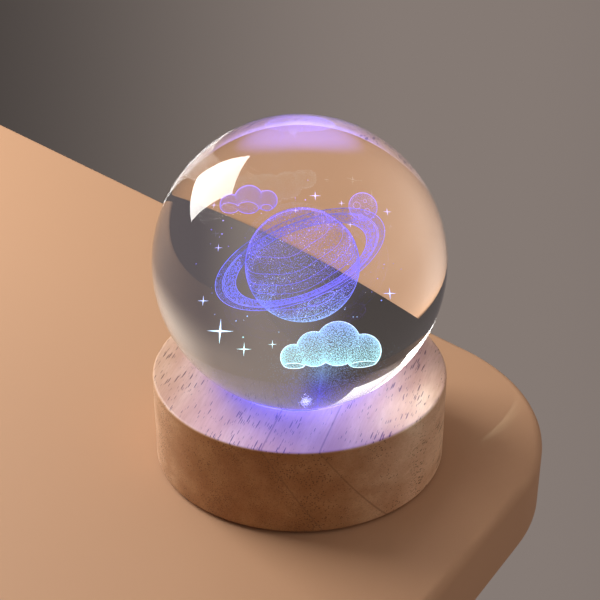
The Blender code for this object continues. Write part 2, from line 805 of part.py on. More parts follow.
def make_connector(housing_material, plug_material, red, black):
    """The cell's connector between the cell's side and the board's edge, open towards -X, and its leads."""
    centre_y = -(cell_side + board_radius) / 2
    level = solder_level - header_height / 2
    at = (0, centre_y, level)
    half = (header_length / 2, header_width / 2, header_height / 2)
    body = block((-half[0], -half[1], -half[2]), half)
    header = place("battery_header", body, housing_material, at=at)
    wall = header_wall
    room = (half[0] - wall, half[1] - wall, half[2] - wall)
    mouth = (-half[0] - cut_overrun, -room[1], -room[2])
    cut(header, "header_mouth", block(mouth, room), at=at)
    tip = room[0] - fit_gap
    plug_half = (room[1] - plug_room, room[2] - plug_room)
    corners = ((tip - plug_length, -plug_half[0], -plug_half[1]), (tip, plug_half[0], plug_half[1]))
    place("battery_plug", block(*corners), plug_material, at=at)

    plug_face = tip - plug_length - fit_gap
    cell_face = -cell_length / 2 - fit_gap
    cell_level = cell_bottom + cell_thickness / 2
    wall_face = -math.sqrt(cavity_radius**2 - ((cell_offset + centre_y) / 2) ** 2)
    for name, material, side in (("battery_wire_red", red, 1), ("battery_wire_black", black, -1)):
        start = (cell_face, cell_offset + side * wire_cell_pitch / 2, cell_level)
        end = (plug_face, centre_y - side * wire_plug_pitch / 2, level)
        bend = (cell_face + wall_face) / 2 - side * wire_lane / 2
        pull = (8 * bend - cell_face - plug_face) / 6
        make_wire(name, material, bezier_route(start, (pull, *start[1:]), end, (pull, *end[1:])))


def rib_start(direction):
    """How far from the centre a rib starts, to stay clear of the cell's rectangle."""
    out = Vector(polar(1, direction)).xy
    half_length = cell_length / 2 + rib_cell_room
    half_width = cell_width / 2 + rib_cell_room
    return min(half_length / abs(out.x), half_width / abs(out.y))


def make_cover(material):
    """The moulded cover: locating ring, radial ribs, four cradle corners, foot pockets and screw holes."""
    ring_top = cover_top + ring_height
    profile = [(0, cover_top), (ring_inner, cover_top), (ring_inner, ring_top), (ring_radius, ring_top)]
    profile += [(ring_radius, cover_top), (cover_radius, cover_top)]
    profile += [(cover_radius, cover_bottom + cover_edge), (cover_radius - cover_edge, cover_bottom)]
    profile += [(0, cover_bottom)]
    cover = place("bottom_cover", turned(profile, base_sides), material)

    ribs = []
    for i in range(rib_count):
        direction = 360 * (i + 0.5) / rib_count
        start = min(rib_start(direction), ring_inner)
        near = (start, -rib_thickness / 2, cover_top - root_depth)
        far = (ring_radius - ring_thickness / 2, rib_thickness / 2, cover_top + rib_height)
        rib = block(near, far)
        turn = math.radians(direction)
        for vert in rib.verts:
            x, y = vert.co.x, vert.co.y
            vert.co.x = x * math.cos(turn) - y * math.sin(turn)
            vert.co.y = x * math.sin(turn) + y * math.cos(turn)
        ribs.append(rib)
    join(cover, "ribs", merged(ribs))

    inside = (cell_length / 2 + fit_gap, cell_width / 2 + fit_gap)
    outside = (inside[0] + cradle_thickness, inside[1] + cradle_thickness)
    arm = cradle_arm
    corners = []
    for x_sign in (-1, 1):
        for y_sign in (-1, 1):
            outline = [(outside[0], outside[1]), (outside[0] - arm, outside[1])]
            outline += [(outside[0] - arm, inside[1]), (inside[0], inside[1])]
            outline += [(inside[0], outside[1] - arm), (outside[0], outside[1] - arm)]
            outline = [(x * x_sign, y * y_sign + cell_offset) for x, y in outline]
            corners.append(prism(outline, cover_top - root_depth, cover_top + cradle_height))
    join(cover, "cradle", merged(corners))

    for i in range(foot_count):
        direction = foot_direction + 360 * i / foot_count
        width = foot_diameter + 2 * fit_gap
        shape = cylinder(width, cover_bottom - cut_overrun, cover_bottom + foot_pocket_depth, small_sides)
        cut(cover, f"foot_pocket_{i + 1}", shape, at=polar(foot_circle, direction))
    for i in range(screw_count):
        direction = cover_screw_direction + 360 * i / screw_count
        shape = turned(screw_hole_profile(), small_sides)
        cut(cover, f"screw_hole_{i + 1}", shape, at=polar(cover_screw_circle, direction))


def screw_hole_profile():
    """A countersunk hole through the cover, wider than the screw by the fit gap all round."""
    head = cover_screw_head / 2 + fit_gap
    shank = cover_screw_shank / 2 + fit_gap
    low = cover_bottom - cut_overrun
    high = cover_top + cut_overrun
    lip = cover_bottom + cover_screw_lip
    cone_top = lip + cover_screw_cone
    return [(0, high), (shank, high), (shank, cone_top), (head, lip), (head, low), (0, low)]


def make_cover_screws(material):
    """Countersunk screws from below, with their heads level with the cover."""
    head = cover_screw_head / 2
    shank = cover_screw_shank / 2
    lip = cover_screw_lip
    cone_top = lip + cover_screw_cone
    tip = cover_screw_length
    profile = [(0, tip), (shank, tip - shank), (shank, cone_top), (head, lip), (head, 0), (0, 0)]
    for i in range(screw_count):
        direction = cover_screw_direction + 360 * i / screw_count
        at = polar(cover_screw_circle, direction, cover_bottom)
        screw = place(f"cover_screw_{i + 1}", turned(profile, tiny_sides), material, at=at)
        for n, bar in enumerate(cross_recess(-cut_overrun, cross_depth)):
            cut(screw, f"cover_screw_{i + 1}_bar_{n + 1}", bar, at=at)


def make_board_screws(material):
    """Pan head screws that hold the board up against the web."""
    head = board_screw_head / 2
    shank = board_screw_shank / 2
    height = board_screw_head_height
    edge = board_screw_head_round
    tip = board_screw_length
    profile = [(0, tip), (shank, tip - shank), (shank, 0), (head, 0)]
    profile += [(head, edge - height), (head - edge, -height), (0, -height)]
    for i, direction in enumerate(board_screw_directions):
        at = polar(board_screw_circle, direction, board_bottom - fit_gap)
        screw = place(f"board_screw_{i + 1}", turned(profile, tiny_sides), material, at=at)
        for n, bar in enumerate(cross_recess(-height - cut_overrun, cross_depth - height)):
            cut(screw, f"board_screw_{i + 1}_bar_{n + 1}", bar, at=at)


def make_feet(material):
    """Soft round feet in the cover's pockets. Their undersides are the lowest faces of the lamp."""
    top = cover_bottom + foot_pocket_depth - fit_gap
    radius = foot_diameter / 2
    profile = [(0, top), (radius, top), (radius, foot_edge), (radius - foot_edge, 0), (0, 0)]
    for i in range(foot_count):
        direction = foot_direction + 360 * i / foot_count
        at = polar(foot_circle, direction)
        place(f"foot_pad_{i + 1}", turned(profile, small_sides), material, at=at)


def make_small_parts(chip_material, resistor_material, capacitor_material):
    """Chips, resistors and capacitors on the board's underside."""

    def on_board(shares):
        return (shares[0] * board_radius, shares[1] * board_radius, solder_level)

    make_chip("control_chip", chip_material, at=on_board(control_chip_shares), turn=0)
    make_chip("charge_chip", chip_material, at=on_board(charge_chip_shares), turn=0)
    size = (resistor_length, resistor_width, resistor_height)
    for i, shares in enumerate(resistor_shares):
        make_chip_part(f"resistor_{i + 1}", resistor_material, *size, at=on_board(shares), turn=90)
    size = (capacitor_length, capacitor_width, capacitor_height)
    for i, shares in enumerate(capacitor_shares):
        make_chip_part(f"capacitor_{i + 1}", capacitor_material, *size, at=on_board(shares), turn=90)


def main():
    clear_scene()
    wood = finish("pale_wood", (0.62, 0.42, 0.25), 0.55)
    glass = finish("clear_glass", (1.0, 1.0, 1.0), 0.0, transmission=1.0)
    engraved = finish("engraved_white", (0.66, 0.66, 0.95), 0.6)
    clear = finish("clear_plastic", (0.95, 0.95, 0.97), 0.1, transmission=1.0)
    mask = finish("white_board", (0.80, 0.82, 0.80), 0.4)
    ceramic = finish("led_white", (0.90, 0.90, 0.86), 0.35)
    mould = finish("black_mould", (0.02, 0.02, 0.02), 0.45)
    tin = finish("resistor_black", (0.06, 0.06, 0.06), 0.35)
    tan = finish("capacitor_tan", (0.45, 0.30, 0.18), 0.4)
    nickel = finish("nickel", (0.72, 0.71, 0.68), 0.25, metallic=1.0)
    cream = finish("connector_cream", (0.80, 0.76, 0.66), 0.45)
    grey = finish("grey_plastic", (0.30, 0.30, 0.31), 0.5)
    silver = finish("cell_foil", (0.62, 0.62, 0.64), 0.35, metallic=0.6)
    foam = finish("foam", (0.85, 0.85, 0.83), 0.9)
    red = finish("red_wire", (0.55, 0.03, 0.03), 0.4)
    black = finish("black_wire", (0.02, 0.02, 0.02), 0.4)
    cover = finish("cover_plastic", (0.03, 0.03, 0.03), 0.55)
    steel = finish("steel", (0.55, 0.55, 0.56), 0.3, metallic=1.0)
    rubber = finish("foot_rubber", (0.05, 0.05, 0.05), 0.8)

    make_wooden_base(wood)
    make_ball(glass)
    make_engraving(engraved)
    make_window(clear)
    make_board(mask)
    make_leds(ceramic)
    make_small_parts(mould, tin, tan)
    make_usb(nickel, mould)
    make_switch(mould, grey, cream)
    make_cell(silver, foam)
    make_connector(cream, cream, red, black)
    make_cover(cover)
    make_cover_screws(steel)
    make_board_screws(steel)
    make_feet(rubber)


main()
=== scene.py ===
"""Night lamp: a solid glass ball with a picture engraved inside it, loose on a turned wooden base.

The ball, its engraving, the wooden base, the window, the inlet's shell, the button, the cover's screws and
the feet are surfaces worked out here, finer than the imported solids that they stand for. The works inside the
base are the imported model's own pieces, dressed with materials. Lengths are in metres, and directions in
degrees from +X round to +Y.
"""

import math

import bmesh
import bpy
import numpy as np
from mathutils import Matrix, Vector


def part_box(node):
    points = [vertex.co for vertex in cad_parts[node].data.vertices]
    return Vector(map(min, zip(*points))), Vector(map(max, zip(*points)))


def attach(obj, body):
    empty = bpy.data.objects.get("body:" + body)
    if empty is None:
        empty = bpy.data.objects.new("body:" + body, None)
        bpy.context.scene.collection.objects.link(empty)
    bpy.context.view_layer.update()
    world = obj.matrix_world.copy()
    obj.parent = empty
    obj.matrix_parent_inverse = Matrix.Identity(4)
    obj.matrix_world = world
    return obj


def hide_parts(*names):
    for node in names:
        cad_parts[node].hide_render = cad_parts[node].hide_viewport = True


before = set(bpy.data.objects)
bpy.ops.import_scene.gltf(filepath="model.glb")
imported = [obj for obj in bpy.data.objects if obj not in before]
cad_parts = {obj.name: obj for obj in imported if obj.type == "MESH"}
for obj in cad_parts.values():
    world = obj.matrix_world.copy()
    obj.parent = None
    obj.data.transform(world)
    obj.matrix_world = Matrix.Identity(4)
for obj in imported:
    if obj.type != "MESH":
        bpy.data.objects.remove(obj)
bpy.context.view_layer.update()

mm = 0.001

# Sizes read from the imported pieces
wood_low, wood_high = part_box("wooden_base")
glass_low, glass_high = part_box("crystal_ball")
window_low, window_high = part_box("led_window")
shell_low, shell_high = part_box("usb_shell")
button_low, button_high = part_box("button_cap")
led_low, led_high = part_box("rgb_led_1")
foot_low, foot_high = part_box("foot_pad_1")
cover_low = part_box("bottom_cover")[0]
base_radius = wood_high.x
base_top = wood_high.z
base_bottom = wood_low.z
inlet_size = (shell_high.x - shell_low.x, shell_high.z - shell_low.z)
inlet_level = (shell_high.z + shell_low.z) / 2
button_level = (button_high.z + button_low.z) / 2
ball_radius = (glass_high.z - glass_low.z) / 2
ball_centre = (glass_high.z + glass_low.z) / 2

# Corners closer than this are merged, and edges that turn by more degrees than this are sharp
merge_reach = 0.000001
sharp_turn = 35

# The wooden base, as it is turned and milled
fit_gap = 0.0003
cut_overrun = 0.0020
edge_round = 0.0008
seat_rim_radius = 0.0225
seat_land_width = 0.0020
recess_fillet = 0.0015
cavity_top = window_low.z
recess_floor = cavity_top + 0.0040
rebate_depth = 0.0026
cover_rim = 0.0025
cavity_radius = base_radius - 0.0090
window_flange_radius = window_high.x
window_flange_rim = 0.0025
window_flange_thickness = 0.0012
window_radius = window_flange_radius - window_flange_rim
window_wall = 0.0017
window_lip = 0.0003
window_hollow_top = led_high.z + 0.0012
body_sides = 256

# Inlet and button in the rear wall, with the pockets milled for them from inside
inlet_direction = 90
inlet_flat_depth = 0.0012
inlet_flat_rim = 0.0020
inlet_pocket_reach = base_radius - inlet_flat_depth - 0.0035
inlet_pocket_width = 0.01294
shell_metal = 0.0003
shell_lip = 0.00012
button_direction = 60
button_pocket_reach = base_radius - 0.0035
button_pocket_width = 0.0110
button_radius = 0.0027
button_proud = 0.0006
button_edge = 0.0004
button_dish = 0.00012
button_flange_rim = 0.0009
button_flange_thickness = 0.0008
button_stem_radius = 0.0015
button_stem_length = 0.0012
pocket_low = 0.0021
pocket_high = cavity_top + 0.0004
pocket_corner = 0.0010

# Screws
cover_screw_circle = 0.0356
cover_screw_directions = (30, 150, 270)
cover_screw_length = 0.0080
cover_screw_head_radius = 0.0020
cover_screw_shank_radius = 0.0011
cover_screw_lip = 0.0002
cover_screw_cone = 0.0010
cover_pilot_radius = 0.0012
cover_pilot_top = 0.0097
board_screw_circle = 0.0260
board_screw_directions = (20, 140, 290)
board_pilot_radius = 0.0011
board_pilot_top = 0.0172
cross_width = 0.0005
cross_span = 0.0021
cross_depth = 0.0007

# Small parts of the board
led_circle = 0.00424
led_directions = (90, 210, 330)
led_well_radius = 0.0019
foot_edge = 0.0003

# Camera, fitted to the outlines of the ball and the base
camera_direction = -90
camera_elevation = 30.07
camera_distance = 0.3893
camera_target = (0.0001, 0.0, 0.0486)
camera_lens = 84.8

# Studio lamps round the ball's centre: a softbox behind on the left, and a dim panel beside it
studio_colour = (1.0, 0.97, 0.93)
softbox = {"direction": 149, "elevation": 32, "distance": 0.80, "size": (0.44, 0.48), "power": 8.9}
panel = {"direction": 121, "elevation": 34, "distance": 0.60, "size": (0.24, 0.30), "power": 0.32}

# Spots, by the place that they light and the radius of their light there. One is the pool of the lamp's own
# light that falls through the ball on the floor behind it. The other is the softbox's light that the ball
# gathers on the front right of the wood.
spot_distance = 0.30
spot_source_radius = 0.001
light_pool = {"direction": 90, "elevation": 90, "radius": 0.0170, "power": 15.0}
light_pool_place = (0.0, 0.0510, 0.0)
light_pool_colour = (0.08, 0.12, 1.0)
gathered = {"direction": -126, "elevation": 32, "radius": 0.0085, "power": 3.4}
gathered_place = (0.0295, -0.0215, 0.027)
gathered_colour = (0.62, 0.95, 1.0)

# Floor panel: two straight edges, with a rounded corner between them on the right
floor_edge_directions = (45, -32.7)
floor_edge_reaches = (0.0764, 0.0643)
floor_corner_radius = 0.060
floor_far_reach = 1.2
floor_thickness = 0.020
floor_lip = 0.003
floor_colour = (0.50, 0.29, 0.170, 1)

# The room: dark warm grey on the left, paler on the right and overhead, and palest far out on the right
room_dark = (0.060, 0.050, 0.046, 1)
room_pale = (0.235, 0.195, 0.175, 1)
room_low_right = (0.110, 0.092, 0.098, 1)
room_overhead = (0.28, 0.255, 0.24, 1)
room_far_right = (1.0, 0.84, 0.72, 1)

# Direction of the wood's fibres, and the seams between its glued staves
fibre_direction = 73.7
fibre_rise = 5
seam_normal = (0.818, -0.239, 0.524)
seam_places = (0.0155, 0.0281)

# Light of the LEDs on the wood, and how far it reaches round the base
led_light = (0.11, 0.12, 1.25, 1)
led_light_reach_at_sides = 0.009
led_light_reach_front_and_rear = 0.030
contact_light_reach = 0.0028
rear_beam_reach = 0.0060

# The engraved picture, in shares of its radius from the ball's centre
picture_radius = 0.0200
planet_centre = np.array([0.025, 0.0, -0.025]) * picture_radius
planet_radius = 0.51 * picture_radius
planet_ring_shares = (1.22, 1.58)
planet_lean = math.radians(-20)
planet_axes = np.array([
    (math.cos(planet_lean), 0, -math.sin(planet_lean)),
    (0, 1, 0),
    (math.sin(planet_lean), 0, math.cos(planet_lean)),
])
moon_centre = np.array([0.61, 0.0, 0.61]) * picture_radius
moon_radius = 0.14 * picture_radius
thread_sides = 5
low_cloud_shares = (
    (0.35, -0.325, -0.66, 0.205),
    (0.13, -0.325, -0.71, 0.16),
    (-0.05, -0.325, -0.79, 0.12),
    (0.575, -0.325, -0.75, 0.17),
)
low_cloud_foot_share = -0.87
high_cloud_shares = (
    (-0.47, 0.2, 0.55, 0.135),
    (-0.64, 0.2, 0.50, 0.095),
    (-0.30, 0.2, 0.535, 0.095),
)
high_cloud_foot_share = 0.455

# The line from the picture to the eye, inside the glass, and the axes to the right, up and along that line
look_rise = math.radians(20)
look = np.array([0, -math.cos(look_rise), math.sin(look_rise)])
seen_axes = np.array([(1, 0, 0), (0, look[2], -look[1]), look])


def polar(radius, degrees, height=0.0):
    turn = math.radians(degrees)
    return np.array([radius * math.cos(turn), radius * math.sin(turn), height])


def arc(centre, radius, start, end, steps):
    """Points on a circular arc: centre plus radius times (cos t, sin t), t from start to end degrees."""
    turn = np.radians(np.linspace(start, end, steps + 1))
    return np.stack([centre[0] + radius * np.cos(turn), centre[1] + radius * np.sin(turn)], -1)


def headed(outline, direction):
    """An (x, y) outline turned so that its +X points in a direction."""
    return outline @ np.array([polar(1, direction)[:2], polar(1, direction + 90)[:2]])


def circle(count):
    """Angles once round, the last one short of the first."""
    return np.linspace(0, 2 * math.pi, count, endpoint=False)


def about_axis(radius, turn, height):
    """Points (radius cos t, radius sin t, height)."""
    return np.stack(np.broadcast_arrays(radius * np.cos(turn), radius * np.sin(turn), height), -1)


def ring_faces(rings, sides, closed=False):
    """Four-cornered faces between each ring of points and the next, and from last to first if closed."""
    row = np.arange(rings if closed else rings - 1)[:, None]
    here = np.arange(sides)[None]
    after = (here + 1) % sides
    low = row * sides
    high = (row + 1) % rings * sides
    return np.stack([low + here, low + after, high + after, high + here], -1).reshape(-1, 4)


def cap_faces(rings, sides):
    """Three-cornered faces from the first and the last ring to their poles, the two points that follow."""
    here = np.arange(sides)
    after = (here + 1) % sides
    last = (rings - 1) * sides
    low = np.stack([after, here, np.full(sides, rings * sides)], -1)
    high = np.stack([last + here, last + after, np.full(sides, rings * sides + 1)], -1)
    return low, high


def put_in_scene(name, data):
    thing = bpy.data.objects.new(name, data)
    bpy.context.scene.collection.objects.link(thing)
    return thing


def new_object(name, points, *blocks):
    """Object at the origin with a mesh of these points, and of faces in blocks of equally many corners."""
    faces = []
    for block in blocks:
        faces += np.asarray(block).tolist()
    mesh = bpy.data.meshes.new(name)
    mesh.from_pydata(np.asarray(points).reshape(-1, 3).tolist(), [], faces)
    mesh.update()
    mesh.shade_smooth()
    return put_in_scene(name, mesh)


def as_made(points):
    return points


def shifted(offset):
    return lambda points: points + offset


def facing(direction, height):
    """Placing that turns a shape's +Z out along a direction, and its +Y up, at a height."""
    axes = np.array([polar(1, direction + 90), (0, 0, 1), polar(1, direction)])
    return lambda points: points @ axes + np.array([0, 0, height])


def capped(name, rings, low_pole, high_pole, placed=as_made):
    """Closed surface from a bottom pole through rings of points to a top pole."""
    count, sides = rings.shape[:2]
    points = np.concatenate([rings.reshape(-1, 3), [low_pole, high_pole]])
    return new_object(name, placed(points), ring_faces(count, sides), *cap_faces(count, sides))


def joined_rings(name, rings, placed=as_made):
    """Closed tube through rings of points, of which the last joins the first."""
    return new_object(name, placed(rings), ring_faces(*rings.shape[:2], closed=True))


def spun(profile, sides):
    """Each (radius, height) of the profile carried round +Z as (radius cos t, radius sin t, height)."""
    return about_axis(profile[:, :1], circle(sides), profile[:, 1:])


def turned(name, profile, sides, placed=as_made):
    """Surface of revolution of a profile that runs from the bottom pole to the top pole."""
    profile = np.asarray(profile, float)
    poles = ((0, 0, level) for level in profile[[0, -1], 1])
    return capped(name, spun(profile[1:-1], sides), *poles, placed)


def levelled(outline, *levels):
    """Copies of an (x, y) outline at these heights."""
    return np.array([np.column_stack([outline, np.full(len(outline), level)]) for level in levels])


def prism(outline, low, high, placed=as_made):
    """Straight extrusion of an (x, y) outline between two heights, with one flat face on each end."""
    rings = levelled(np.asarray(outline, float), low, high)
    first, last = np.arange(2 * len(outline)).reshape(2, -1)
    return new_object("cutter", placed(rings), ring_faces(2, len(outline)), [first[::-1]], [last])


def slot_outline(width, height, margin):
    """Slot with half-round ends, grown by a margin all round."""
    radius = height / 2 + margin
    reach = width / 2 - height / 2
    return np.concatenate([arc((reach, 0), radius, -90, 90, 16), arc((-reach, 0), radius, 90, 270, 16)])


def cut(piece, cutter):
    """Takes the cutter's solid out of the piece and deletes the cutter."""
    modifier = piece.modifiers.new("cut", "BOOLEAN")
    modifier.operation = "DIFFERENCE"
    modifier.solver = "EXACT"
    modifier.object = cutter
    bpy.context.view_layer.update()
    whole = bpy.data.meshes.new_from_object(piece.evaluated_get(bpy.context.evaluated_depsgraph_get()))
    piece.modifiers.clear()
    piece.data = whole
    bpy.data.objects.remove(cutter)


def sharpen(piece, degrees):
    """Merges corners under a micron apart, dissolves the slivers that cuts leave, and marks sharp edges."""
    work = bmesh.new()
    work.from_mesh(piece.data)
    bmesh.ops.remove_doubles(work, verts=work.verts, dist=merge_reach)
    bmesh.ops.dissolve_degenerate(work, edges=work.edges, dist=merge_reach)
    work.to_mesh(piece.data)
    work.free()
    piece.data.shade_smooth()
    piece.data.set_sharp_from_angle(angle=math.radians(degrees))


def dress(piece, material, body, slot, *replaced, sharp=sharp_turn):
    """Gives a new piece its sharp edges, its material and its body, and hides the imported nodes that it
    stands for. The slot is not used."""
    if sharp:
        sharpen(piece, sharp)
    piece.data.materials.clear()
    piece.data.materials.append(material)
    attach(piece, body)
    if replaced:
        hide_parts(*replaced)


class Shade:
    """A number, colour or vector that changes over a surface: one output of a node. Arithmetic on it, and its
    methods, add the nodes that work out the result, and give that as another shade."""

    def __init__(self, socket):
        self.socket = socket
        self.tree = socket.id_data

    def maths(self, operation, *others):
        return add(self.tree, "ShaderNodeMath", (self, *others), operation=operation)

    def __add__(self, other):
        return self.maths("ADD", other)

    def __sub__(self, other):
        return self.maths("SUBTRACT", other)

    def __mul__(self, other):
        return self.maths("MULTIPLY", other)

    def __truediv__(self, other):
        return self.maths("DIVIDE", other)

    def __abs__(self):
        return self.maths("ABSOLUTE")

    def step(self, low, high, to_low=0.0, to_high=1.0):
        """Smooth step from one range to another."""
        inputs = (self, low, high, to_low, to_high)
        return add(self.tree, "ShaderNodeMapRange", inputs, interpolation_type="SMOOTHSTEP")

    def noise(self, scale, detail=2.0, roughness=0.5):
        inputs = {"Vector": self, "Scale": scale, "Detail": detail, "Roughness": roughness}
        return add(self.tree, "ShaderNodeTexNoise", inputs)

    def dot(self, direction):
        return add(self.tree, "ShaderNodeVectorMath", (self, direction), "Value", operation="DOT_PRODUCT")

    def distance(self, point):
        return add(self.tree, "ShaderNodeVectorMath", (self, tuple(point)), "Value", operation="DISTANCE")

    def parts(self):
        """X, Y and Z of a vector."""
        x = add(self.tree, "ShaderNodeSeparateXYZ", (self,))
        return [x.beside(name) for name in "XYZ"]

    def beside(self, name):
        """Another output of the same node."""
        return Shade(self.socket.node.outputs[name])

    def between(self, first, second):
        """Colour that runs from the first to the second as this mask runs from 0 to 1."""
        return add(self.tree, "ShaderNodeMix", {0: self, 6: first, 7: second}, 2, data_type="RGBA")

    def tinted(self, other):
        """This colour times another or times a number."""
        mix = {"data_type": "RGBA", "blend_type": "MULTIPLY"}
        return add(self.tree, "ShaderNodeMix", {0: 1.0, 6: self, 7: other}, 2, **mix)


def join(node, inputs):
    """Links or sets a node's inputs, given in their order or by name."""
    for key, value in inputs.items() if isinstance(inputs, dict) else enumerate(inputs):
        if isinstance(value, Shade):
            node.id_data.links.new(value.socket, node.inputs[key])
        else:
            node.inputs[key].default_value = value


def add(tree, kind, inputs=(), output=0, **settings):
    """Adds a node with its settings and inputs, and gives one of its outputs."""
    node = tree.nodes.new(kind)
    for key, value in settings.items():
        setattr(node, key, value)
    join(node, inputs)
    return Shade(node.outputs[output])


def place(tree):
    return add(tree, "ShaderNodeTexCoord", (), "Object")


def nearest_axis(tree, radius, directions):
    """Distance from the nearest of some upright axes, at this radius in these directions."""
    flat = add(tree, "ShaderNodeVectorMath", (place(tree), (1, 1, 0)), operation="MULTIPLY")
    near, *others = [flat.distance(polar(radius, direction)) for direction in directions]
    for other in others:
        near = near.maths("MINIMUM", other)
    return near


def stretched_place(tree, length, width, turn=(0, 0, 0)):
    """Object coordinates, turned, with X in units of a length and Y and Z in units of a width."""
    inputs = {"Vector": place(tree), "Rotation": turn, "Scale": (length, width, width)}
    return add(tree, "ShaderNodeMapping", inputs, vector_type="TEXTURE")


def new_group(name, inputs):
    """Shader node group with named inputs and their plain values, which puts out a colour, a roughness and a
    bump's height. Gives the group, its inputs as shades and its output node."""
    tree = bpy.data.node_groups.new(name, "ShaderNodeTree")
    number, colour = "NodeSocketFloat", "NodeSocketColor"
    for label, value in inputs.items():
        kind = number if isinstance(value, float) else colour
        tree.interface.new_socket(name=label, in_out="INPUT", socket_type=kind).default_value = value
    for label, kind in (("Colour", colour), ("Roughness", number), ("Height", number)):
        tree.interface.new_socket(name=label, in_out="OUTPUT", socket_type=kind)
    entry = tree.nodes.new("NodeGroupInput").outputs
    return tree, {label: Shade(entry[label]) for label in inputs}, tree.nodes.new("NodeGroupOutput")


def use_group(tree, group, *inputs):
    """Colour, roughness and height that a group gives for these inputs, in the group's order."""
    node = tree.nodes.new("ShaderNodeGroup")
    node.node_tree = group
    join(node, inputs)
    return [Shade(socket) for socket in node.outputs]


def new_material(name, **inputs):
    """Material, with its node tree and its Principled shader, whose plain inputs are set here by name."""
    material = bpy.data.materials.new(name)
    material.use_nodes = True
    principled = material.node_tree.nodes["Principled BSDF"]
    join(principled, {key.replace("_", " "): value for key, value in inputs.items()})
    return material, material.node_tree, principled


def wear(principled, colour, roughness=None, height=None, bump=0.0, depth=0.0):
    """Joins a colour, a roughness and a bump's height to a Principled shader."""
    join(principled, {"Base Color": colour})
    if roughness is not None:
        join(principled, {"Roughness": roughness})
    if height is not None:
        inputs = {"Strength": bump, "Distance": depth, "Height": height}
        join(principled, {"Normal": add(height.tree, "ShaderNodeBump", inputs)})


def shine(material, principled, light, strength):
    """Lets a material shine, too weakly to count as a lamp."""
    join(principled, {"Emission Color": light, "Emission Strength": strength})
    material.cycles.emission_sampling = "NONE"


def aim(name, data, target, direction, elevation, away):
    """Camera or lamp that faces a target, at a distance from it in a direction and at an elevation."""
    aimed = put_in_scene(name, data)
    rise = math.radians(elevation)
    aimed.location = np.array(target) + polar(math.cos(rise), direction, math.sin(rise)) * away
    aimed.rotation_euler = (math.pi / 2 - rise, 0, math.radians(direction + 90))
    return aimed


def make_camera():
    """Camera at the photo's angle."""
    data = bpy.data.cameras.new("camera")
    data.lens = camera_lens
    angles = (camera_direction, camera_elevation)
    bpy.context.scene.camera = aim("camera", data, camera_target, *angles, camera_distance)


def hang_lamp(name, kind, lamp, colour, target, away):
    """Lamp that faces a target, and isn't seen itself."""
    data = bpy.data.lights.new(name, kind)
    data.energy = lamp["power"]
    data.color = colour
    light = aim(name, data, target, lamp["direction"], lamp["elevation"], away)
    light.visible_camera = False
    return light


def make_studio_lamp(name, lamp, shows_in_gloss):
    """Rectangular lamp that faces the ball's centre."""
    light = hang_lamp(name, "AREA", lamp, studio_colour, (0, 0, ball_centre), lamp["distance"])
    light.data.shape = "RECTANGLE"
    light.data.size, light.data.size_y = lamp["size"]
    light.visible_glossy = shows_in_gloss


def make_spot(name, lamp, colour, target, blend):
    """Narrow lamp with a soft edge, which shows in no glass or gloss."""
    light = hang_lamp(name, "SPOT", lamp, colour, target, spot_distance)
    light.data.spot_size = 2 * math.atan(lamp["radius"] / spot_distance)
    light.data.spot_blend = blend
    light.data.shadow_soft_size = spot_source_radius
    light.visible_glossy = False
    light.visible_transmission = False


def make_floor():
    """Panel whose outline is cut by two edge lines with an arc between them, its lip a quarter round."""
    first, second = floor_edge_directions
    normals = np.array([polar(1, first)[:2], polar(1, second)[:2]])
    centre = np.linalg.solve(normals, np.array(floor_edge_reaches) - floor_corner_radius)
    corner = arc(centre, floor_corner_radius, first, second, 32)
    start = corner[0] + polar(floor_far_reach, first + 90)[:2]
    end = corner[-1] + polar(floor_far_reach, second - 90)[:2]
    outline = np.concatenate([[end, start], corner])[::-1]
    inward = -outline / np.linalg.norm(outline, axis=1)[:, None]
    rings = [levelled(outline, -floor_thickness)]
    for turn in np.linspace(math.pi / 2, 0, 6):
        level = -floor_lip * (1 - math.cos(turn))
        rings.append(levelled(outline + inward * floor_lip * (1 - math.sin(turn)), level))
    floor = capped("floor_panel", np.concatenate(rings), (0, 0, -floor_thickness), (0, 0, 0))
    sharpen(floor, sharp_turn)
    paint = new_material("floor_paint", Base_Color=floor_colour, Roughness=0.6, Specular_IOR_Level=0.3)[0]
    floor.data.materials.append(paint)


def make_room():
    """The room round the lamp: plain warm grey, which grows paler from left to right and upwards, and is
    darker again low down on the right."""
    world = bpy.data.worlds.new("room")
    bpy.context.scene.world = world
    world.use_nodes = True
    x, _, z = add(world.node_tree, "ShaderNodeTexCoord", (), "Generated").parts()
    colour = (x * z.step(-0.1, 0.15, 1.0, 2.2)).step(-0.27, 0.08).between(room_dark, room_pale)
    colour = (x.step(0.15, 0.5) * z.step(0.1, -0.18)).between(colour, room_low_right)
    colour = z.step(0.2, 0.8).between(colour, room_overhead)
    colour = (x.step(0.45, 1.0) * z.step(-0.2, 0.2)).between(colour, room_far_right)
    join(world.node_tree.nodes["Background"], {"Color": colour})


def fibre_space(tree, length, width):
    """Object coordinates turned so that X runs along the fibres, in units of a length and a width."""
    turn = (0, -math.radians(fibre_rise), math.radians(fibre_direction))
    return stretched_place(tree, length, width, turn)


def vessels(tree, length, width, fattest, clusters):
    """Mask of the dark vessel lines: long thin cells round scattered points, fatter where they cluster."""
    cells = add(tree, "ShaderNodeTexVoronoi", {"Vector": fibre_space(tree, length, width), "Scale": 1.0})
    share = add(tree, "ShaderNodeSeparateColor", (cells.beside("Color"),))
    return (share * clusters * fattest - cells).step(0.0, 0.05)


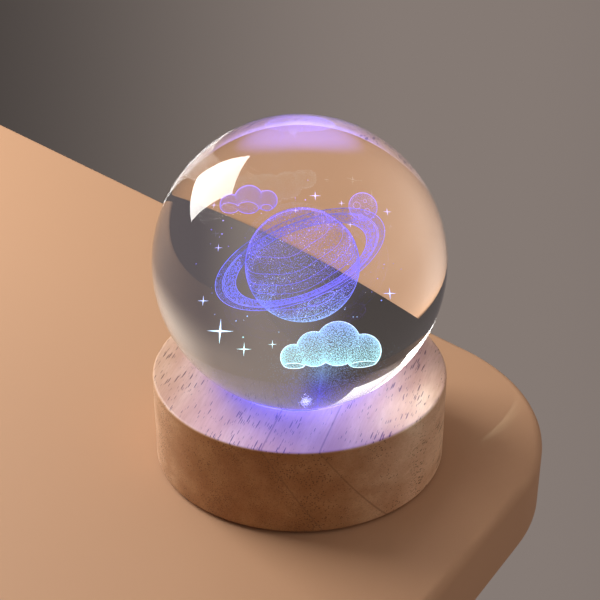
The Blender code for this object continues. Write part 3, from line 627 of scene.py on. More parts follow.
def oiled_wood():
    """Pale fine wood: growth bands, fibre streaks and vessel lines along the fibres, darker end grain, glued
    seams, and the light of the LEDs on its top face and in its seat."""
    material, tree, principled = new_material("oiled_wood", Roughness=0.5, Specular_IOR_Level=0.35)
    rise = math.radians(fibre_rise)
    axis = polar(math.cos(rise), fibre_direction, math.sin(rise))

    streaks = fibre_space(tree, 12 * mm, 0.45 * mm).noise(1.0, 3.0, 0.6)
    bands = fibre_space(tree, 90 * mm, 5 * mm).noise(1.0, 2.0, 0.4)
    blotches = fibre_space(tree, 30 * mm, 8 * mm).noise(1.0, 3.0, 0.55)
    speckle = fibre_space(tree, 0.9 * mm, 0.35 * mm).noise(1.0, 1.0)
    clusters = fibre_space(tree, 30 * mm, 9 * mm).noise(1.0, 1.0).step(0.35, 0.6, 0.6, 1.0)
    long_vessels = vessels(tree, 12 * mm, 0.52 * mm, 0.41, clusters)
    short_vessels = vessels(tree, 5.5 * mm, 0.40 * mm, 0.35, clusters)
    end_grain = abs(add(tree, "ShaderNodeTexCoord", (), "Normal").dot(axis)).step(0.40, 0.98)

    colour = bands.step(0.3, 0.7).between((0.79, 0.56, 0.39, 1), (0.70, 0.45, 0.30, 1))
    colour = streaks.step(0.35, 0.75, 0.0, 0.35).between(colour, (0.50, 0.28, 0.15, 1))
    colour = blotches.step(0.38, 0.66, 0.0, 0.5).between(colour, (0.50, 0.27, 0.14, 1))
    darker = colour.tinted((0.64, 0.48, 0.305, 1))
    darker = speckle.step(0.55, 0.75, 0.0, 0.5).between(darker, (0.20, 0.10, 0.05, 1))
    colour = end_grain.between(colour, darker)
    colour = (short_vessels * 0.7).between(colour, (0.24, 0.11, 0.06, 1))
    colour = (long_vessels * 0.85).between(colour, (0.15, 0.07, 0.035, 1))
    for seam in seam_places:
        line = abs(place(tree).dot(seam_normal) - seam).step(0.05 * mm, 0.3 * mm, 0.55, 0.0)
        colour = line.between(colour, (0.24, 0.12, 0.06, 1))

    height = streaks * 0.25 - long_vessels.maths("MAXIMUM", short_vessels * 0.5)
    wear(principled, colour, streaks.step(0.3, 0.8, 0.42, 0.58), height, 0.35, 0.15 * mm)
    shine(material, principled, led_light_on_wood(colour), 1.0)
    return material


def led_light_on_wood(colour):
    """The wood's colour under the LEDs' light. On the top face the light falls off with the distance from the
    seat as exp(-d / reach), with a long reach in front and behind and a short one at the sides. Behind the
    ball it keeps to a beam along +Y. A narrow bright band lies along the seat, and inside it is brightest."""
    x, y, z = place(colour.tree).parts()
    radius = (x * x + y * y).maths("SQRT")
    along = y / radius.maths("MAXIMUM", mm)
    along = along * along
    reach = along * (led_light_reach_front_and_rear - led_light_reach_at_sides) + led_light_reach_at_sides
    out = (radius - seat_rim_radius).maths("MAXIMUM", 0.0)
    beam = abs(x).step(0.6 * rear_beam_reach, 1.6 * rear_beam_reach, 1.2, 0.3)
    wide = (out * -1.0 / reach).maths("EXPONENT") * (along * 0.62 + 0.33)
    wide = wide * (y.step(0.0, 20 * mm) * (beam - 1.0) + 1.0)
    narrow = (out / -contact_light_reach).maths("EXPONENT")
    on_top = z.step(base_top - 0.45 * mm, base_top - 0.02 * mm)
    in_seat = radius.step(seat_rim_radius, seat_rim_radius - 0.2 * mm)
    above_cavity = z.step(cavity_top + 0.5 * mm, recess_floor - 0.5 * mm, 0.0, 2.4)
    light = ((narrow * 0.5 + wide) * on_top).maths("MAXIMUM", in_seat * above_cavity)
    paler = (in_seat * 0.55 + 0.45).between(colour, (0.95, 0.95, 0.95, 1))
    return paler.tinted(led_light).tinted(light)


def pocket_outline(width, inner, outer, direction):
    """Milled pocket from above: straight sides out along a direction, round corners at its outer end."""
    half = width / 2
    near = arc((outer - pocket_corner, -half + pocket_corner), pocket_corner, -90, 0, 6)
    far = arc((outer - pocket_corner, half - pocket_corner), pocket_corner, 0, 90, 6)
    return headed(np.concatenate([[(inner, -half)], near, far, [(inner, half)]]), direction)


def make_wooden_base():
    """Turned ring: rounded outside edges, a spherical land for the ball, a bowl with a fillet, the window's
    stepped bore, and the cavity and the cover's rebate below. The pockets, the slot, the flat round it, the
    button's hole and the screws' pilot holes are cut after turning."""
    outside = base_radius - edge_round
    seat_radius = ball_radius + fit_gap
    recess_radius = seat_rim_radius - seat_land_width
    rim_turn = math.degrees(math.asin(seat_rim_radius / seat_radius)) - 90
    recess_turn = math.degrees(math.asin(recess_radius / seat_radius)) - 90
    rebate_top = base_bottom + rebate_depth
    rebate_radius = base_radius - cover_rim
    bore_radius = window_radius + fit_gap
    step_radius = window_flange_radius + fit_gap
    step_level = cavity_top + window_flange_thickness + fit_gap
    profile = np.concatenate([
        arc((outside, base_bottom + edge_round), edge_round, -90, 0, 8),
        arc((outside, base_top - edge_round), edge_round, 0, 90, 8),
        arc((0, ball_centre), seat_radius, rim_turn, recess_turn, 8),
        arc((recess_radius - recess_fillet, recess_floor + recess_fillet), recess_fillet, 0, -90, 8),
        [(bore_radius, recess_floor), (bore_radius, step_level), (step_radius, step_level)],
        [(step_radius, cavity_top), (cavity_radius, cavity_top), (cavity_radius, rebate_top)],
        [(rebate_radius, rebate_top), (rebate_radius, base_bottom)],
    ])
    base = joined_rings("wooden_body", spun(profile, body_sides))

    past = base_radius + cut_overrun
    pocket_start = cavity_radius - cut_overrun
    pockets = (
        (inlet_pocket_width, inlet_pocket_reach, inlet_direction),
        (button_pocket_width, button_pocket_reach, button_direction),
    )
    for width, reach, direction in pockets:
        cut(base, prism(pocket_outline(width, pocket_start, reach, direction), pocket_low, pocket_high))
    at_inlet = facing(inlet_direction, inlet_level)
    cut(base, prism(slot_outline(*inlet_size, fit_gap), inlet_pocket_reach - cut_overrun, past, at_inlet))
    flat = slot_outline(*inlet_size, fit_gap + inlet_flat_rim)
    cut(base, prism(flat, base_radius - inlet_flat_depth, past, at_inlet))
    at_button = facing(button_direction, button_level)
    hole = arc((0, 0), button_radius + fit_gap, 0, 354, 59)
    cut(base, prism(hole, button_pocket_reach - cut_overrun, past, at_button))

    pilots = (
        (cover_pilot_radius, cover_screw_circle, cover_screw_directions, rebate_top, cover_pilot_top),
        (board_pilot_radius, board_screw_circle, board_screw_directions, cavity_top, board_pilot_top),
    )
    for radius, reach, directions, mouth, top in pilots:
        for direction in directions:
            outline = arc((0, 0), radius, 0, 345, 23) + polar(reach, direction)[:2]
            cut(base, prism(outline, mouth - cut_overrun, top))
    dress(base, oiled_wood(), "base", "wood", "wooden_base")


def make_ball():
    """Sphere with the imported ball's centre and radius: its profile is a half circle. Clear glass, very
    slightly blue, with faint smears that only tint it."""
    profile = arc((0, ball_centre), ball_radius, -90, 90, 189)
    clear = {"IOR": 1.517, "Transmission_Weight": 1.0, "Roughness": 0.0}
    material, tree, principled = new_material("polished_glass", **clear)
    smears = place(tree).noise(60.0, 3.0, 0.6)
    wear(principled, smears.between((0.985, 0.99, 1.0, 1), (1.0, 0.995, 0.99, 1)))
    dress(turned("glass_ball", profile, 380), material, "ball", "glass", "crystal_ball", sharp=None)


def make_window():
    """Clear moulded window: low dome, straight neck, flange, and a hollow over the LEDs open below."""
    edge_level = recess_floor + window_lip
    sag = window_high.z - edge_level
    dome_radius = (window_radius**2 + sag**2) / (2 * sag)
    rim = math.degrees(math.asin(window_radius / dome_radius))
    hollow_radius = window_radius - window_wall
    flange_top = cavity_top + window_flange_thickness
    inner_round = 0.5 * mm
    profile = np.concatenate([
        [(0, window_hollow_top)],
        arc((hollow_radius - inner_round, window_hollow_top - inner_round), inner_round, 90, 0, 5),
        [(hollow_radius, cavity_top), (window_flange_radius, cavity_top), (window_flange_radius, flange_top)],
        [(window_radius, flange_top)],
        arc((0, window_high.z - dome_radius), dome_radius, 90 - rim, 90, 16),
    ])
    window = turned("clear_window", profile, 160)
    clear = {"IOR": 1.49, "Transmission_Weight": 1.0, "Roughness": 0.06}
    material, tree, principled = new_material("clear_moulding", **clear)
    flow = place(tree).noise(400.0)
    wear(principled, flow.between((0.96, 0.97, 1.0, 1), (1.0, 1.0, 1.0, 1)), None, flow, 0.05, 0.05 * mm)
    dress(window, material, "base", "window", "led_window")


def make_inlet_shell():
    """Metal shell of the inlet: slot-shaped rings along a wall profile with a rolled lip at its mouth."""
    back, mouth = shell_low.y, shell_high.y
    lip = arc((-shell_lip, mouth - shell_lip), shell_lip, 0, 90, 5)
    inner_lip = arc((shell_lip - shell_metal, mouth - shell_lip), shell_lip, 90, 180, 5)
    wall = np.concatenate([[(0, back)], lip, inner_lip, [(-shell_metal, back)]])
    rings = np.concatenate([levelled(slot_outline(*inlet_size, margin), level) for margin, level in wall])
    shell = joined_rings("inlet_shell", rings, facing(inlet_direction, inlet_level))
    material = plated("nickel_plate", (0.72, 0.71, 0.68, 1), (0.55, 0.52, 0.46, 1), 0.26)
    dress(shell, material, "base", "nickel", "usb_shell", sharp=50)


def make_button():
    """Push button turned about its own axis: stem, flange, barrel, rounded edge and a shallow dish."""
    outside = base_radius + button_proud
    flange_outside = button_pocket_reach - fit_gap
    flange_inside = flange_outside - button_flange_thickness
    stem_end = flange_inside - button_stem_length
    flange_radius = button_radius + button_flange_rim
    flat = button_radius - button_edge
    dish = np.linspace(flat, 0, 9)
    profile = np.concatenate([
        [(0, stem_end), (button_stem_radius, stem_end), (button_stem_radius, flange_inside)],
        [(flange_radius, flange_inside), (flange_radius, flange_outside), (button_radius, flange_outside)],
        arc((flat, outside - button_edge), button_edge, 0, 90, 8),
        np.stack([dish, outside - button_dish * np.cos(dish / flat * math.pi / 2)], -1)[1:],
    ])
    button = turned("push_button", profile, 96, facing(button_direction, button_level))
    material = moulded("cream_button", (0.80, 0.76, 0.66, 1), 0.34, 2600.0, 0.08, Coat_Weight=0.1)
    dress(button, material, "button", "button", "button_cap")


def make_cover_screws(steel):
    """Countersunk screws, head down: flat head with a cross recess, cone, and a shank with a pointed end."""
    head, lip = cover_screw_head_radius, cover_screw_lip
    shank, tip = cover_screw_shank_radius, cover_screw_length
    cone_top = lip + cover_screw_cone
    profile = ((0, 0), (head, 0), (head, lip), (shank, cone_top), (shank, tip - shank), (0, tip))
    near, far = cross_width / 2, cross_span / 2
    arm = np.array([(far, -near), (far, near), (near, near)])
    cross = np.concatenate([headed(arm, direction) for direction in (0, 90, 180, 270)])
    for i, direction in enumerate(cover_screw_directions):
        at = polar(cover_screw_circle, direction, cover_low.z)
        screw = turned(f"countersunk_screw_{i + 1}", profile, 64, shifted(at))
        cut(screw, prism(cross + at[:2], cover_low.z - cut_overrun, cover_low.z + cross_depth))
        dress(screw, steel, "base", "screw", f"cover_screw_{i + 1}")


def make_feet():
    """Soft round feet: straight pads with a rounded lower edge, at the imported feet's places."""
    radius = (foot_high.x - foot_low.x) / 2
    edge = arc((radius - foot_edge, foot_low.z + foot_edge), foot_edge, -90, 0, 6)
    profile = np.concatenate([[(0, foot_low.z)], edge, [(radius, foot_high.z), (0, foot_high.z)]])
    material = moulded("foot_rubber", (0.05, 0.05, 0.05, 1), 0.78, 1500.0, 0.3)
    for i in range(4):
        low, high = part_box(f"foot_pad_{i + 1}")
        at = np.array([(low.x + high.x) / 2, (low.y + high.y) / 2, 0])
        foot = turned(f"soft_foot_{i + 1}", profile, 96, shifted(at))
        dress(foot, material, "base", "foot", f"foot_pad_{i + 1}")


class Etching:
    """Small solids of the engraving, gathered as arrays of points, faces and each point's brightness."""

    def __init__(self):
        self.points, self.faces, self.brightness, self.count = [], [], [], 0

    def put(self, points, brightness, *blocks):
        """Adds solids by their points and blocks of faces. The brightness is one number, or each point's."""
        self.points.append(points)
        self.faces += [block + self.count for block in blocks]
        self.brightness.append(np.broadcast_to(brightness, len(points)))
        self.count += len(points)

    def dots(self, centres, sizes, brightness):
        """Octahedra: six corners, one size away from each centre along each axis."""
        count = len(centres)
        shape = np.array([(1, 0, 0), (0, 1, 0), (-1, 0, 0), (0, -1, 0), (0, 0, -1), (0, 0, 1)])
        faces = np.concatenate(cap_faces(1, 4)) + 6 * np.arange(count)[:, None, None]
        points = centres[:, None] + shape * np.broadcast_to(sizes, count)[:, None, None]
        levels = np.repeat(np.broadcast_to(brightness, count), 6)
        self.put(points.reshape(-1, 3), levels, faces.reshape(-1, 3))

    def thread(self, path, radius, across, brightness, closed=False):
        """Round thread: a ring of corners about each point of the path, square to it. The ring's two axes
        come from the path's direction and a direction across it. Open ends are closed by a point."""
        path = np.asarray(path, float)
        if closed:
            along = np.roll(path, -1, axis=0) - np.roll(path, 1, axis=0)
        else:
            along = np.gradient(path, axis=0)
        along /= np.linalg.norm(along, axis=1)[:, None]
        side = np.cross(along, across)
        side /= np.linalg.norm(side, axis=1)[:, None]
        other = np.cross(along, side)
        turn = circle(thread_sides)
        offset = side[:, None] * np.cos(turn)[:, None] + other[:, None] * np.sin(turn)[:, None]
        points = (path[:, None] + offset * radius).reshape(-1, 3)
        blocks = [ring_faces(len(path), thread_sides, closed)]
        if not closed:
            points = np.concatenate([points, path[[0, -1]] + along[[0, -1]] * [[-radius], [radius]]])
            blocks += cap_faces(len(path), thread_sides)
        self.put(points, brightness, *blocks)

    def star(self, centre, reach, brightness):
        """Four-pointed star: four long and four short corners in the upright plane, with two tips."""
        turn = np.arange(8) * math.pi / 4 + math.pi / 2
        long_short = np.where(np.arange(8) % 2 == 0, 1.0, 0.11)
        rim = np.stack([long_short * np.cos(turn), np.zeros(8), long_short * np.sin(turn)], -1)
        tips = np.array([(0, 0.1, 0), (0, -0.1, 0)])
        self.put(centre + reach * np.concatenate([rim, tips]), brightness, *cap_faces(1, 8))

    def finish(self, name, material, *replaced):
        """Object of all the solids, placed about the ball's centre, with the brightness as an attribute."""
        points = np.concatenate(self.points) + np.array([0, 0, ball_centre])
        piece = new_object(name, points, *self.faces)
        piece.data.shade_flat()
        levels = piece.data.attributes.new("brightness", "FLOAT", "POINT")
        levels.data.foreach_set("value", np.concatenate(self.brightness).astype(np.float32))
        dress(piece, material, "ball", "engraving", *replaced, sharp=None)


def engraved_light():
    """White laser dots lit from below: blue at the ball's foot, cyan-white in the low cloud, deep blue in the
    middle and lilac at the top, each dot by its own brightness."""
    material, tree, principled = new_material("engraved_light", Roughness=0.6)
    here = place(tree)
    span = (here.parts()[2], ball_centre - 38 * mm, ball_centre + 16 * mm)
    ramp = add(tree, "ShaderNodeValToRGB", (add(tree, "ShaderNodeMapRange", span),))
    stops = (
        (0.00, (0.10, 0.12, 1.00)),
        (0.28, (0.10, 0.09, 0.95)),
        (0.36, (0.42, 0.85, 0.95)),
        (0.41, (0.52, 0.98, 0.90)),
        (0.50, (0.36, 0.62, 1.00)),
        (0.60, (0.16, 0.18, 1.00)),
        (0.74, (0.15, 0.12, 0.95)),
        (0.88, (0.30, 0.18, 0.85)),
        (1.00, (0.52, 0.33, 0.90)),
    )
    elements = ramp.socket.node.color_ramp.elements
    for position, colour in stops[1:-1]:
        elements.new(position)
    for element, (position, colour) in zip(elements, stops):
        element.position = position
        element.color = (*colour, 1)
    level = add(tree, "ShaderNodeAttribute", (), "Fac", attribute_name="brightness")
    whiter = level.step(1.1, 1.9, 0.0, 0.65).between(ramp, (0.9, 0.92, 1.0, 1))
    shine(material, principled, whiter.tinted(level), 1.35)
    grain = here.noise(3000.0).step(0.3, 0.7)
    wear(principled, grain.between((0.08, 0.08, 0.20, 1), (0.14, 0.14, 0.30, 1)))
    return material


def scattered_sphere(rng, count, spread):
    """Points spread evenly on a unit sphere, along a spiral that turns by the golden angle, and each then
    pushed a little along the surface."""
    step = np.arange(count) + 0.5
    height = 1 - 2 * step / count
    dots = about_axis(np.sqrt(1 - height**2), math.pi * (1 + math.sqrt(5)) * step, height)
    dots = dots + rng.normal(0, spread, dots.shape)
    return dots / np.linalg.norm(dots, axis=1)[:, None]


def seen_circle(count):
    """Points of a unit circle square to the line of sight."""
    return about_axis(1, circle(count), 0) @ seen_axes


def stretches(seen):
    """Stretches of a closed line that are seen, each as positions in order, but for the shortest."""
    order = np.roll(np.arange(len(seen)), -np.argmin(seen))
    pieces = np.split(order, np.flatnonzero(np.diff(seen[order].astype(int))) + 1)
    return [piece for piece in pieces if seen[piece[0]] and len(piece) > 4]


def clear_of(gaps, reaches):
    """Whether each row of gaps is longer than every reach."""
    return (np.linalg.norm(gaps, axis=2) > reaches).all(1)


def on_planet(points):
    return planet_centre + points * planet_radius


def make_planet(rng, light):
    """Banded planet: dots spread over the sphere, brighter in every other wavy band, threads along the bands'
    edges, an oval storm, and a thread round the outline."""
    planet = Etching()
    dots = scattered_sphere(rng, 19000, 0.012)
    wavy = dots[:, 2] + 0.03 * np.sin(5 * np.arctan2(dots[:, 1], dots[:, 0]))
    dense = 0.5 + 0.5 * np.tanh(5 * np.sin(wavy * 11))
    keep = rng.random(len(dots)) < 0.45 + 0.55 * dense
    level = 0.42 + 0.50 * dense[keep] + rng.normal(0, 0.16, keep.sum())
    level[rng.random(keep.sum()) < 0.02] += 0.9
    sizes = rng.uniform(0.055, 0.080, keep.sum()) * mm
    planet.dots(on_planet(dots[keep] @ planet_axes), sizes, np.clip(level, 0.15, 2.0))
    turn = circle(160)
    for edge in np.arcsin(np.linspace(-1, 1, 15)[1:-1:2]) / (math.pi / 2):
        level = edge + 0.02 * np.sin(5 * turn)
        path = about_axis(np.sqrt(1 - level**2), turn, level) @ planet_axes
        for run in stretches(path @ look > 0.02):
            planet.thread(on_planet(path[run]), 0.045 * mm, planet_axes[2], 0.95)
    x, z = 0.26 * np.cos(circle(60)) + 0.25, 0.11 * np.sin(circle(60)) - 0.36
    storm = np.stack([x, -np.sqrt(1 - x**2 - z**2), z], -1) @ planet_axes
    planet.thread(on_planet(storm), 0.05 * mm, (0, 1, 0), 1.3, closed=True)
    planet.thread(on_planet(seen_circle(200)), 0.06 * mm, look, 1.2, closed=True)
    planet.finish("planet_dots", light, "engraved_planet")


def make_planet_ring(rng, light):
    """Broad flat ring round the planet: dots between two circles, sparser past a gap, and threads along its
    edges. The stretch that lies behind the planet is dimmer."""
    inner, outer = planet_ring_shares
    gap = inner + 0.62 * (outer - inner)
    gap_half = 0.012
    ring = Etching()

    def dimmed(points):
        depth = points @ look
        behind = (depth < 0) & (np.linalg.norm(points - depth[:, None] * look, axis=1) < 1.0)
        return np.where(behind, 0.45, 1.0)

    count = 12500
    reach = np.sqrt(rng.uniform(inner**2, outer**2, count))
    turn = rng.uniform(0, 2 * math.pi, count)
    flat = about_axis(reach, turn, rng.normal(0, 0.006, count)) @ planet_axes
    keep = rng.random(count) < np.where(reach < gap, 1.0, 0.6)
    keep &= np.abs(reach - gap) > gap_half
    level = np.where(reach < gap, 0.95, 0.6)[keep] + rng.normal(0, 0.12, keep.sum())
    sizes = rng.uniform(0.050, 0.075, keep.sum()) * mm
    ring.dots(on_planet(flat[keep]), sizes, np.clip(level, 0.2, 1.4) * dimmed(flat[keep]))
    for reach in (inner, gap - gap_half, gap + gap_half, outer):
        path = about_axis(reach, circle(260), 0) @ planet_axes
        levels = np.repeat(1.15 * dimmed(path), thread_sides)
        ring.thread(on_planet(path), 0.05 * mm, planet_axes[2], levels, closed=True)
    ring.finish("planet_ring_dots", light, "engraved_ring")


def make_cloud(rng, light, name, replaced, shares, foot_share, density, levels):
    """Bank of cloud: each lobe a sphere cut off at the bank's flat foot, dots where no other lobe covers it,
    threads along the lobes' outlines, and a thread along the outline of the foot."""
    lobes = np.array(shares) * picture_radius
    foot = foot_share * picture_radius
    cloud = Etching()
    for i, (x, y, z, size) in enumerate(lobes):
        at = np.array([x, y, z])
        others = np.delete(lobes, i, axis=0)
        centres, reaches = others[:, :3], others[:, 3]
        dots = scattered_sphere(rng, int(density * (size / mm) ** 2), 0.02) * size + at
        shown = dots[clear_of(dots[:, None] - centres, reaches) & (dots[:, 2] > foot)]
        level = levels[0] + (levels[1] - levels[0]) * rng.random(len(shown))
        cloud.dots(shown, rng.uniform(0.060, 0.085, len(shown)) * mm, level)
        rim = at + size * seen_circle(240)
        apart = rim[:, None] - centres
        apart -= (apart @ look)[..., None] * look
        for run in stretches(clear_of(apart, reaches) & (rim[:, 2] > foot)):
            cloud.thread(rim[run], 0.07 * mm, look, levels[2])
        width = math.sqrt(max(size**2 - (z - foot) ** 2, 0))
        widths = np.sqrt(np.maximum(reaches**2 - (centres[:, 2] - foot) ** 2, 0))
        edge = about_axis(width, circle(240), foot) + (x, y, 0)
        apart = edge[:, None, :2] - centres[:, :2]
        for run in stretches(clear_of(apart, widths) & (width > 0.1 * mm)):
            cloud.thread(edge[run], 0.06 * mm, (0, 0, 1), levels[2])
    cloud.finish(name, light, replaced)


def make_moon(rng, light):
    """Small full moon: dots over a sphere, a thread round it, and a thread round each crater."""
    moon = Etching()
    dots = scattered_sphere(rng, 1500, 0.03)
    sizes = rng.uniform(0.050, 0.075, len(dots)) * mm
    moon.dots(moon_centre + dots * moon_radius, sizes, rng.uniform(0.5, 0.9, len(dots)))
    rim = seen_circle(60)
    moon.thread(moon_centre + rim * moon_radius, 0.055 * mm, look, 1.2, closed=True)
    for across, above, size in ((-0.35, 0.3, 0.26), (0.4, -0.1, 0.2), (-0.1, -0.5, 0.17), (0.25, 0.6, 0.12)):
        crater = (across, above, math.sqrt(1 - across**2 - above**2)) @ seen_axes + rim * size
        moon.thread(moon_centre + crater * moon_radius, 0.04 * mm, look, 1.1, closed=True)
    moon.finish("moon_dots", light, "engraved_moon")


def make_stars(rng, light):
    """Four-pointed sparkles, each with a round heart, and single star dots between the larger motifs. Each
    sparkle is given by its place to the right and upwards of the ball's centre, and its reach, in mm."""
    stars = Etching()
    field_radius = 18.5
    sparkles = (
        (-13.8, -12.6, 2.4), (-9.4, -16.0, 1.3), (-16.4, -8.6, 1.0), (15.6, -6.8, 1.2), (-4.6, -15.2, 0.8),
        (3.0, 14.6, 1.2), (-0.8, 12.6, 0.7), (16.4, 9.4, 0.9), (8.2, 14.2, 0.7), (-15.4, 4.6, 0.9),
        (-16.8, 12.8, 0.8), (9.6, 9.0, 0.7),
    )
    for x, z, reach in sparkles:
        centre = np.array([x, rng.uniform(-3, 3), z]) * mm
        stars.star(centre, reach * mm, 1.5)
        stars.dots(centre[None], 0.15 * reach * mm, 2.0)
    count = 70
    turn = rng.uniform(0, 2 * math.pi, count)
    reach = np.sqrt(rng.uniform(0.1, 1, count)) * field_radius
    spots = np.stack([reach * np.cos(turn), rng.uniform(-5, 5, count), reach * np.sin(turn)], -1)
    stars.dots(spots * mm, rng.uniform(0.06, 0.17, count) * mm, rng.uniform(0.6, 1.4, count))
    stars.finish("star_dots", light)


def make_light_fan(rng, light):
    """Faint fan of fine glowing dots that rises from the ball's foot, leans to the right and widens towards
    the
    picture: painted light, the LEDs' light seen in the glass like a mist over them. One tight bright knot of
    dots in it is a painted image of the LEDs."""
    fan = Etching()
    count = 24000
    rise = rng.random(count) ** 0.75
    half_width = (2.4 + 5.5 * rise) * mm
    lean = (1.0 + 3.2 * rise) * mm
    height = (-36 + 19 * rise) * mm
    turn = rng.uniform(0, 2 * math.pi, count)
    spots = about_axis(np.abs(rng.normal(0, 0.55, count)) * half_width, turn, height)
    spots[:, 0] += lean
    sizes = rng.uniform(0.030, 0.044, count) * mm
    fan.dots(spots, sizes, rng.uniform(0.65, 1.0, count) * (1 - 0.7 * rise))
    # Painted image of the LEDs: a tight knot of bright glowing dots low in the fan
    painted_led_image = rng.normal(0, 0.40, (220, 3)) * mm + np.array([1.0, 0.0, -24.9]) * mm
    fan.dots(painted_led_image, 0.07 * mm, 1.6)
    fan.finish("light_fan", light)


def make_engraving():
    rng = np.random.default_rng(12)
    light = engraved_light()
    make_planet(rng, light)
    make_planet_ring(rng, light)
    low = ("low_cloud_dots", "engraved_low_cloud", low_cloud_shares, low_cloud_foot_share)
    make_cloud(rng, light, *low, 330, (0.75, 1.05, 1.75))
    high = ("high_cloud_dots", "engraved_high_cloud", high_cloud_shares, high_cloud_foot_share)
    make_cloud(rng, light, *high, 210, (0.5, 0.8, 1.2))
    make_moon(rng, light)
    make_stars(rng, light)
    make_light_fan(rng, light)


def make_moulding_grain():
    """Group for moulded plastic, rubber and nylon: fine grain, and slow cloudy flow marks in the colour."""
    inputs = {"Colour": (0.5, 0.5, 0.5, 1), "Roughness": 0.5, "Scale": 2000.0}
    tree, given, result = new_group("moulding_grain", inputs)
    grain = place(tree).noise(given["Scale"], 2.0, 0.6)
    flow = place(tree).noise(given["Scale"] * 0.06)
    shade = flow.step(0.3, 0.7, 0.86, 1.06) * grain.step(0.3, 0.7, 0.94, 1.05)
    roughness = given["Roughness"] + grain.step(0.3, 0.7, -0.06, 0.06)
    join(result, (given["Colour"].tinted(shade), roughness, grain))
    return tree


def make_plating():
    """Group for plated metal: mottled tarnish, and fine drawn scratches along X."""
    inputs = {"Colour": (0.6, 0.6, 0.6, 1), "Tarnish": (0.4, 0.4, 0.4, 1), "Roughness": 0.3}
    tree, given, result = new_group("plating", inputs)
    mottle = place(tree).noise(700.0, 3.0, 0.6)
    drawn = stretched_place(tree, 2.5 * mm, 0.06 * mm).noise(1.0, 2.0)
    colour = mottle.step(0.42, 0.72, 0.0, 0.7).between(given["Colour"], given["Tarnish"])
    roughness = given["Roughness"] + mottle.step(0.3, 0.7, -0.05, 0.12) + drawn.step(0.4, 0.7, 0.0, 0.08)
    join(result, (colour, roughness, drawn))
    return tree


moulding_grain = make_moulding_grain()
plating = make_plating()
tin = ((0.72, 0.72, 0.70, 1), (0.50, 0.50, 0.48, 1), 0.28)
gold = ((0.95, 0.70, 0.30, 1), (0.75, 0.50, 0.20, 1), 0.22)


def moulded(name, colour, roughness, scale, relief, **shader):
    """Plain moulded material with the moulding grain at its own scale and relief."""
    material, tree, principled = new_material(name, **shader)
    wear(principled, *use_group(tree, moulding_grain, colour, roughness, scale), relief, 0.05 * mm)
    return material


def plated(name, colour, tarnish, roughness):
    material, tree, principled = new_material(name, Metallic=1.0)
    wear(principled, *use_group(tree, plating, colour, tarnish, roughness), 0.08, 0.02 * mm)
    return material


def two_finishes(name, mask_of, body, metal):
    """Moulded body with metal where a mask says so. The body is (colour, roughness, scale), the metal
    (colour, tarnish, roughness), and mask_of builds the mask in the material's tree."""
    material, tree, principled = new_material(name)
    mask = mask_of(tree)
    colour, roughness, height = use_group(tree, moulding_grain, *body)
    metal_colour, metal_roughness, _ = use_group(tree, plating, *metal)
    roughness = mask * (metal_roughness - roughness) + roughness
    wear(principled, mask.between(colour, metal_colour), roughness, height, 0.1, 0.02 * mm)
    join(principled, {"Metallic": mask})
    return material


def both_ends(low, high, length):
    """Mask of both ends of a box along Y, each of this length."""
    middle = (low.y + high.y) / 2
    reach = (high.y - low.y) / 2 - length

    def mask(tree):
        return abs(place(tree).parts()[1] - middle).step(reach - 0.01 * mm, reach + 0.01 * mm)
    return mask


def chip_material(name, low, high):
    """Black moulded chip with tinned leads along both sides, and a small dimple by its first lead."""
    leads = 1.0 * mm
    material = two_finishes(name, both_ends(low, high, leads), ((0.02, 0.02, 0.02, 1), 0.5, 5000.0), tin)
    principled = material.node_tree.nodes["Principled BSDF"]
    colour = Shade(principled.inputs["Base Color"].links[0].from_socket)
    dimple = place(colour.tree).distance((low.x + 0.7 * mm, low.y + leads + 0.7 * mm, low.z))
    dimple = dimple.step(0.28 * mm, 0.34 * mm, 1.0, 0.0)
    join(principled, {"Base Color": dimple.between(colour, (0.07, 0.07, 0.07, 1))})
    return material


def tongue_contacts(tree):
    """Mask of the twelve contacts on each face of the inlet's tongue: narrow strips side by side along X."""
    low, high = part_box("usb_tongue")
    x, y, z = place(tree).parts()
    pitch = 0.5 * mm
    strip = (x + 12 * pitch).maths("PINGPONG", pitch / 2).step(0.11 * mm, 0.13 * mm)
    near_face = abs(z - (low.z + high.z) / 2).step(0.30 * mm, 0.34 * mm)
    on_blade = y.step(low.y + 2.2 * mm, low.y + 2.3 * mm)
    inside = abs(x).step(2.95 * mm, 3.0 * mm, 1.0, 0.0)
    back = y.step(high.y - 0.5 * mm, high.y - 0.4 * mm, 1.0, 0.0)
    return strip * near_face * on_blade * inside * back


def solder_mask():
    """White solder mask over faint raised tracks, with bare tinned rings round the board's screws."""
    material, tree, principled = new_material("solder_mask", Coat_Weight=0.3)
    cells = {"Vector": place(tree), "Scale": 420.0, "Randomness": 0.35}
    track = add(tree, "ShaderNodeTexVoronoi", cells, feature="DISTANCE_TO_EDGE").step(0.10, 0.14, 1.0, 0.0)
    colour, roughness, _ = use_group(tree, moulding_grain, (0.80, 0.82, 0.80, 1), 0.36, 1500.0)
    colour = (track * 0.7).between(colour, (0.58, 0.66, 0.56, 1))
    near = nearest_axis(tree, board_screw_circle, board_screw_directions)
    ring = near.step(2.3 * mm, 2.35 * mm, 1.0, 0.0)
    colour = ring.between(colour, use_group(tree, plating, *tin)[0])
    wear(principled, colour, roughness, track, 0.2, 0.03 * mm)
    join(principled, {"Metallic": ring})
    return material


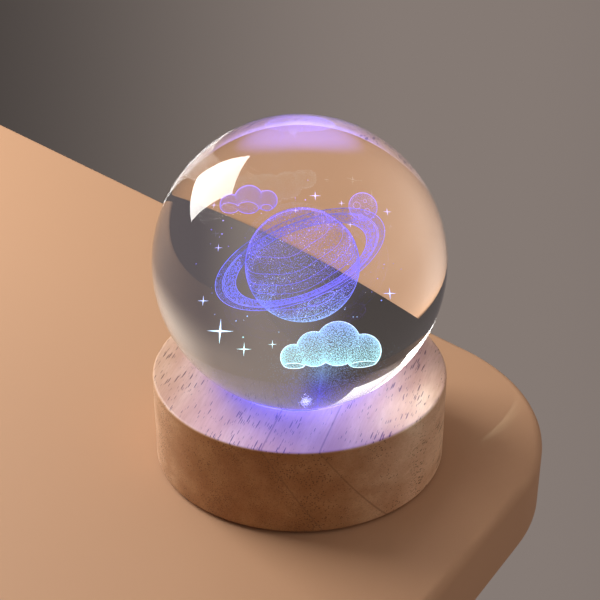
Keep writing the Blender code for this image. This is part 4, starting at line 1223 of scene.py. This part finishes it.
def lit_package():
    """White LED package. Its round well glows violet-blue, brightest over the three dies in its middle."""
    material, tree, principled = new_material("lit_package")
    near = nearest_axis(tree, led_circle, led_directions)
    well = near.step(led_well_radius - 0.05 * mm, led_well_radius, 1.0, 0.0)
    above = place(tree).parts()[2].step(led_low.z + 0.9 * mm, led_low.z + 1.0 * mm)
    glow = near.step(0.2 * mm, 1.1 * mm, 1.0, 0.0).between((0.16, 0.10, 0.80, 1), (0.55, 0.45, 1.0, 1))
    shine(material, principled, (well * above).between((0, 0, 0, 1), glow), 1.6)
    wear(principled, *use_group(tree, moulding_grain, (0.90, 0.90, 0.86, 1), 0.35, 4000.0), 0.05, 0.02 * mm)
    return material


def foil_pouch():
    """Dull aluminium laminate of the cell, with small soft creases."""
    material, tree, principled = new_material("foil_pouch", Metallic=0.85)
    colour, roughness, _ = use_group(tree, plating, (0.62, 0.62, 0.64, 1), (0.52, 0.52, 0.54, 1), 0.40)
    wear(principled, colour, roughness, place(tree).noise(260.0, 4.0, 0.55), 0.35, 0.25 * mm)
    return material


def foam_tape():
    """White closed-cell foam: rounded cells as bumps, with painted shade in the creases between them."""
    material, tree, principled = new_material("foam_tape")
    cells = add(tree, "ShaderNodeTexVoronoi", {"Vector": place(tree), "Scale": 2800.0})
    colour, roughness, _ = use_group(tree, moulding_grain, (0.85, 0.85, 0.83, 1), 0.88, 900.0)
    # The colour darkens towards the creases between the cells: painted shade.
    wear(principled, colour.tinted(cells.step(0.1, 0.7, 1.0, 0.82)), roughness, cells, -0.5, 0.08 * mm)
    return material


def dress_works(steel):
    """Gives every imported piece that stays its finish."""
    black = (0.02, 0.02, 0.02, 1)
    film = (0.06, 0.06, 0.06, 1)
    tan = (0.45, 0.30, 0.18, 1)
    cream = moulded("cream_nylon", (0.80, 0.76, 0.66, 1), 0.45, 2500.0, 0.1)
    finishes = {
        "main_board": solder_mask(),
        "switch_housing": moulded("switch_moulding", (0.03, 0.03, 0.03, 1), 0.42, 3000.0, 0.12),
        "switch_plunger": moulded("plunger_moulding", (0.30, 0.30, 0.31, 1), 0.5, 3000.0, 0.12),
        "battery_cell": foil_pouch(),
        "battery_foam_pad": foam_tape(),
        "battery_header": cream,
        "battery_plug": cream,
        "battery_wire_red": moulded("red_insulation", (0.55, 0.03, 0.03, 1), 0.36, 1200.0, 0.05),
        "battery_wire_black": moulded("black_insulation", black, 0.36, 1200.0, 0.05),
        "bottom_cover": moulded("cover_moulding", (0.035, 0.035, 0.036, 1), 0.56, 1800.0, 0.45),
        "usb_tongue": two_finishes("tongue_moulding", tongue_contacts, (black, 0.45, 3000.0), gold),
    }
    package = lit_package()
    for i in (1, 2, 3):
        finishes[f"rgb_led_{i}"] = package
        finishes[f"board_screw_{i}"] = steel
    for name in ("control_chip", "charge_chip"):
        finishes[name] = chip_material(name + "_finish", *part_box(name))
    for kind, count, colour in (("resistor", 3, film), ("capacitor", 2, tan)):
        for i in range(count):
            name = f"{kind}_{i + 1}"
            ends = both_ends(*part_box(name), 0.4 * mm)
            finishes[name] = two_finishes(name + "_finish", ends, (colour, 0.4, 5000.0), tin)
    for name, material in finishes.items():
        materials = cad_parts[name].data.materials
        materials.clear()
        materials.append(material)


make_camera()
make_room()
make_floor()
make_studio_lamp("softbox", softbox, True)
make_studio_lamp("panel", panel, False)
make_spot("light_pool", light_pool, light_pool_colour, light_pool_place, 0.9)
make_spot("gathered_light", gathered, gathered_colour, gathered_place, 1.0)
zinc = plated("zinc_plate", (0.60, 0.60, 0.62, 1), (0.50, 0.49, 0.44, 1), 0.30)
make_wooden_base()
make_ball()
make_window()
make_inlet_shell()
make_button()
make_cover_screws(zinc)
make_feet()
make_engraving()
dress_works(zinc)

bpy.context.scene.view_settings.view_transform = "Standard"
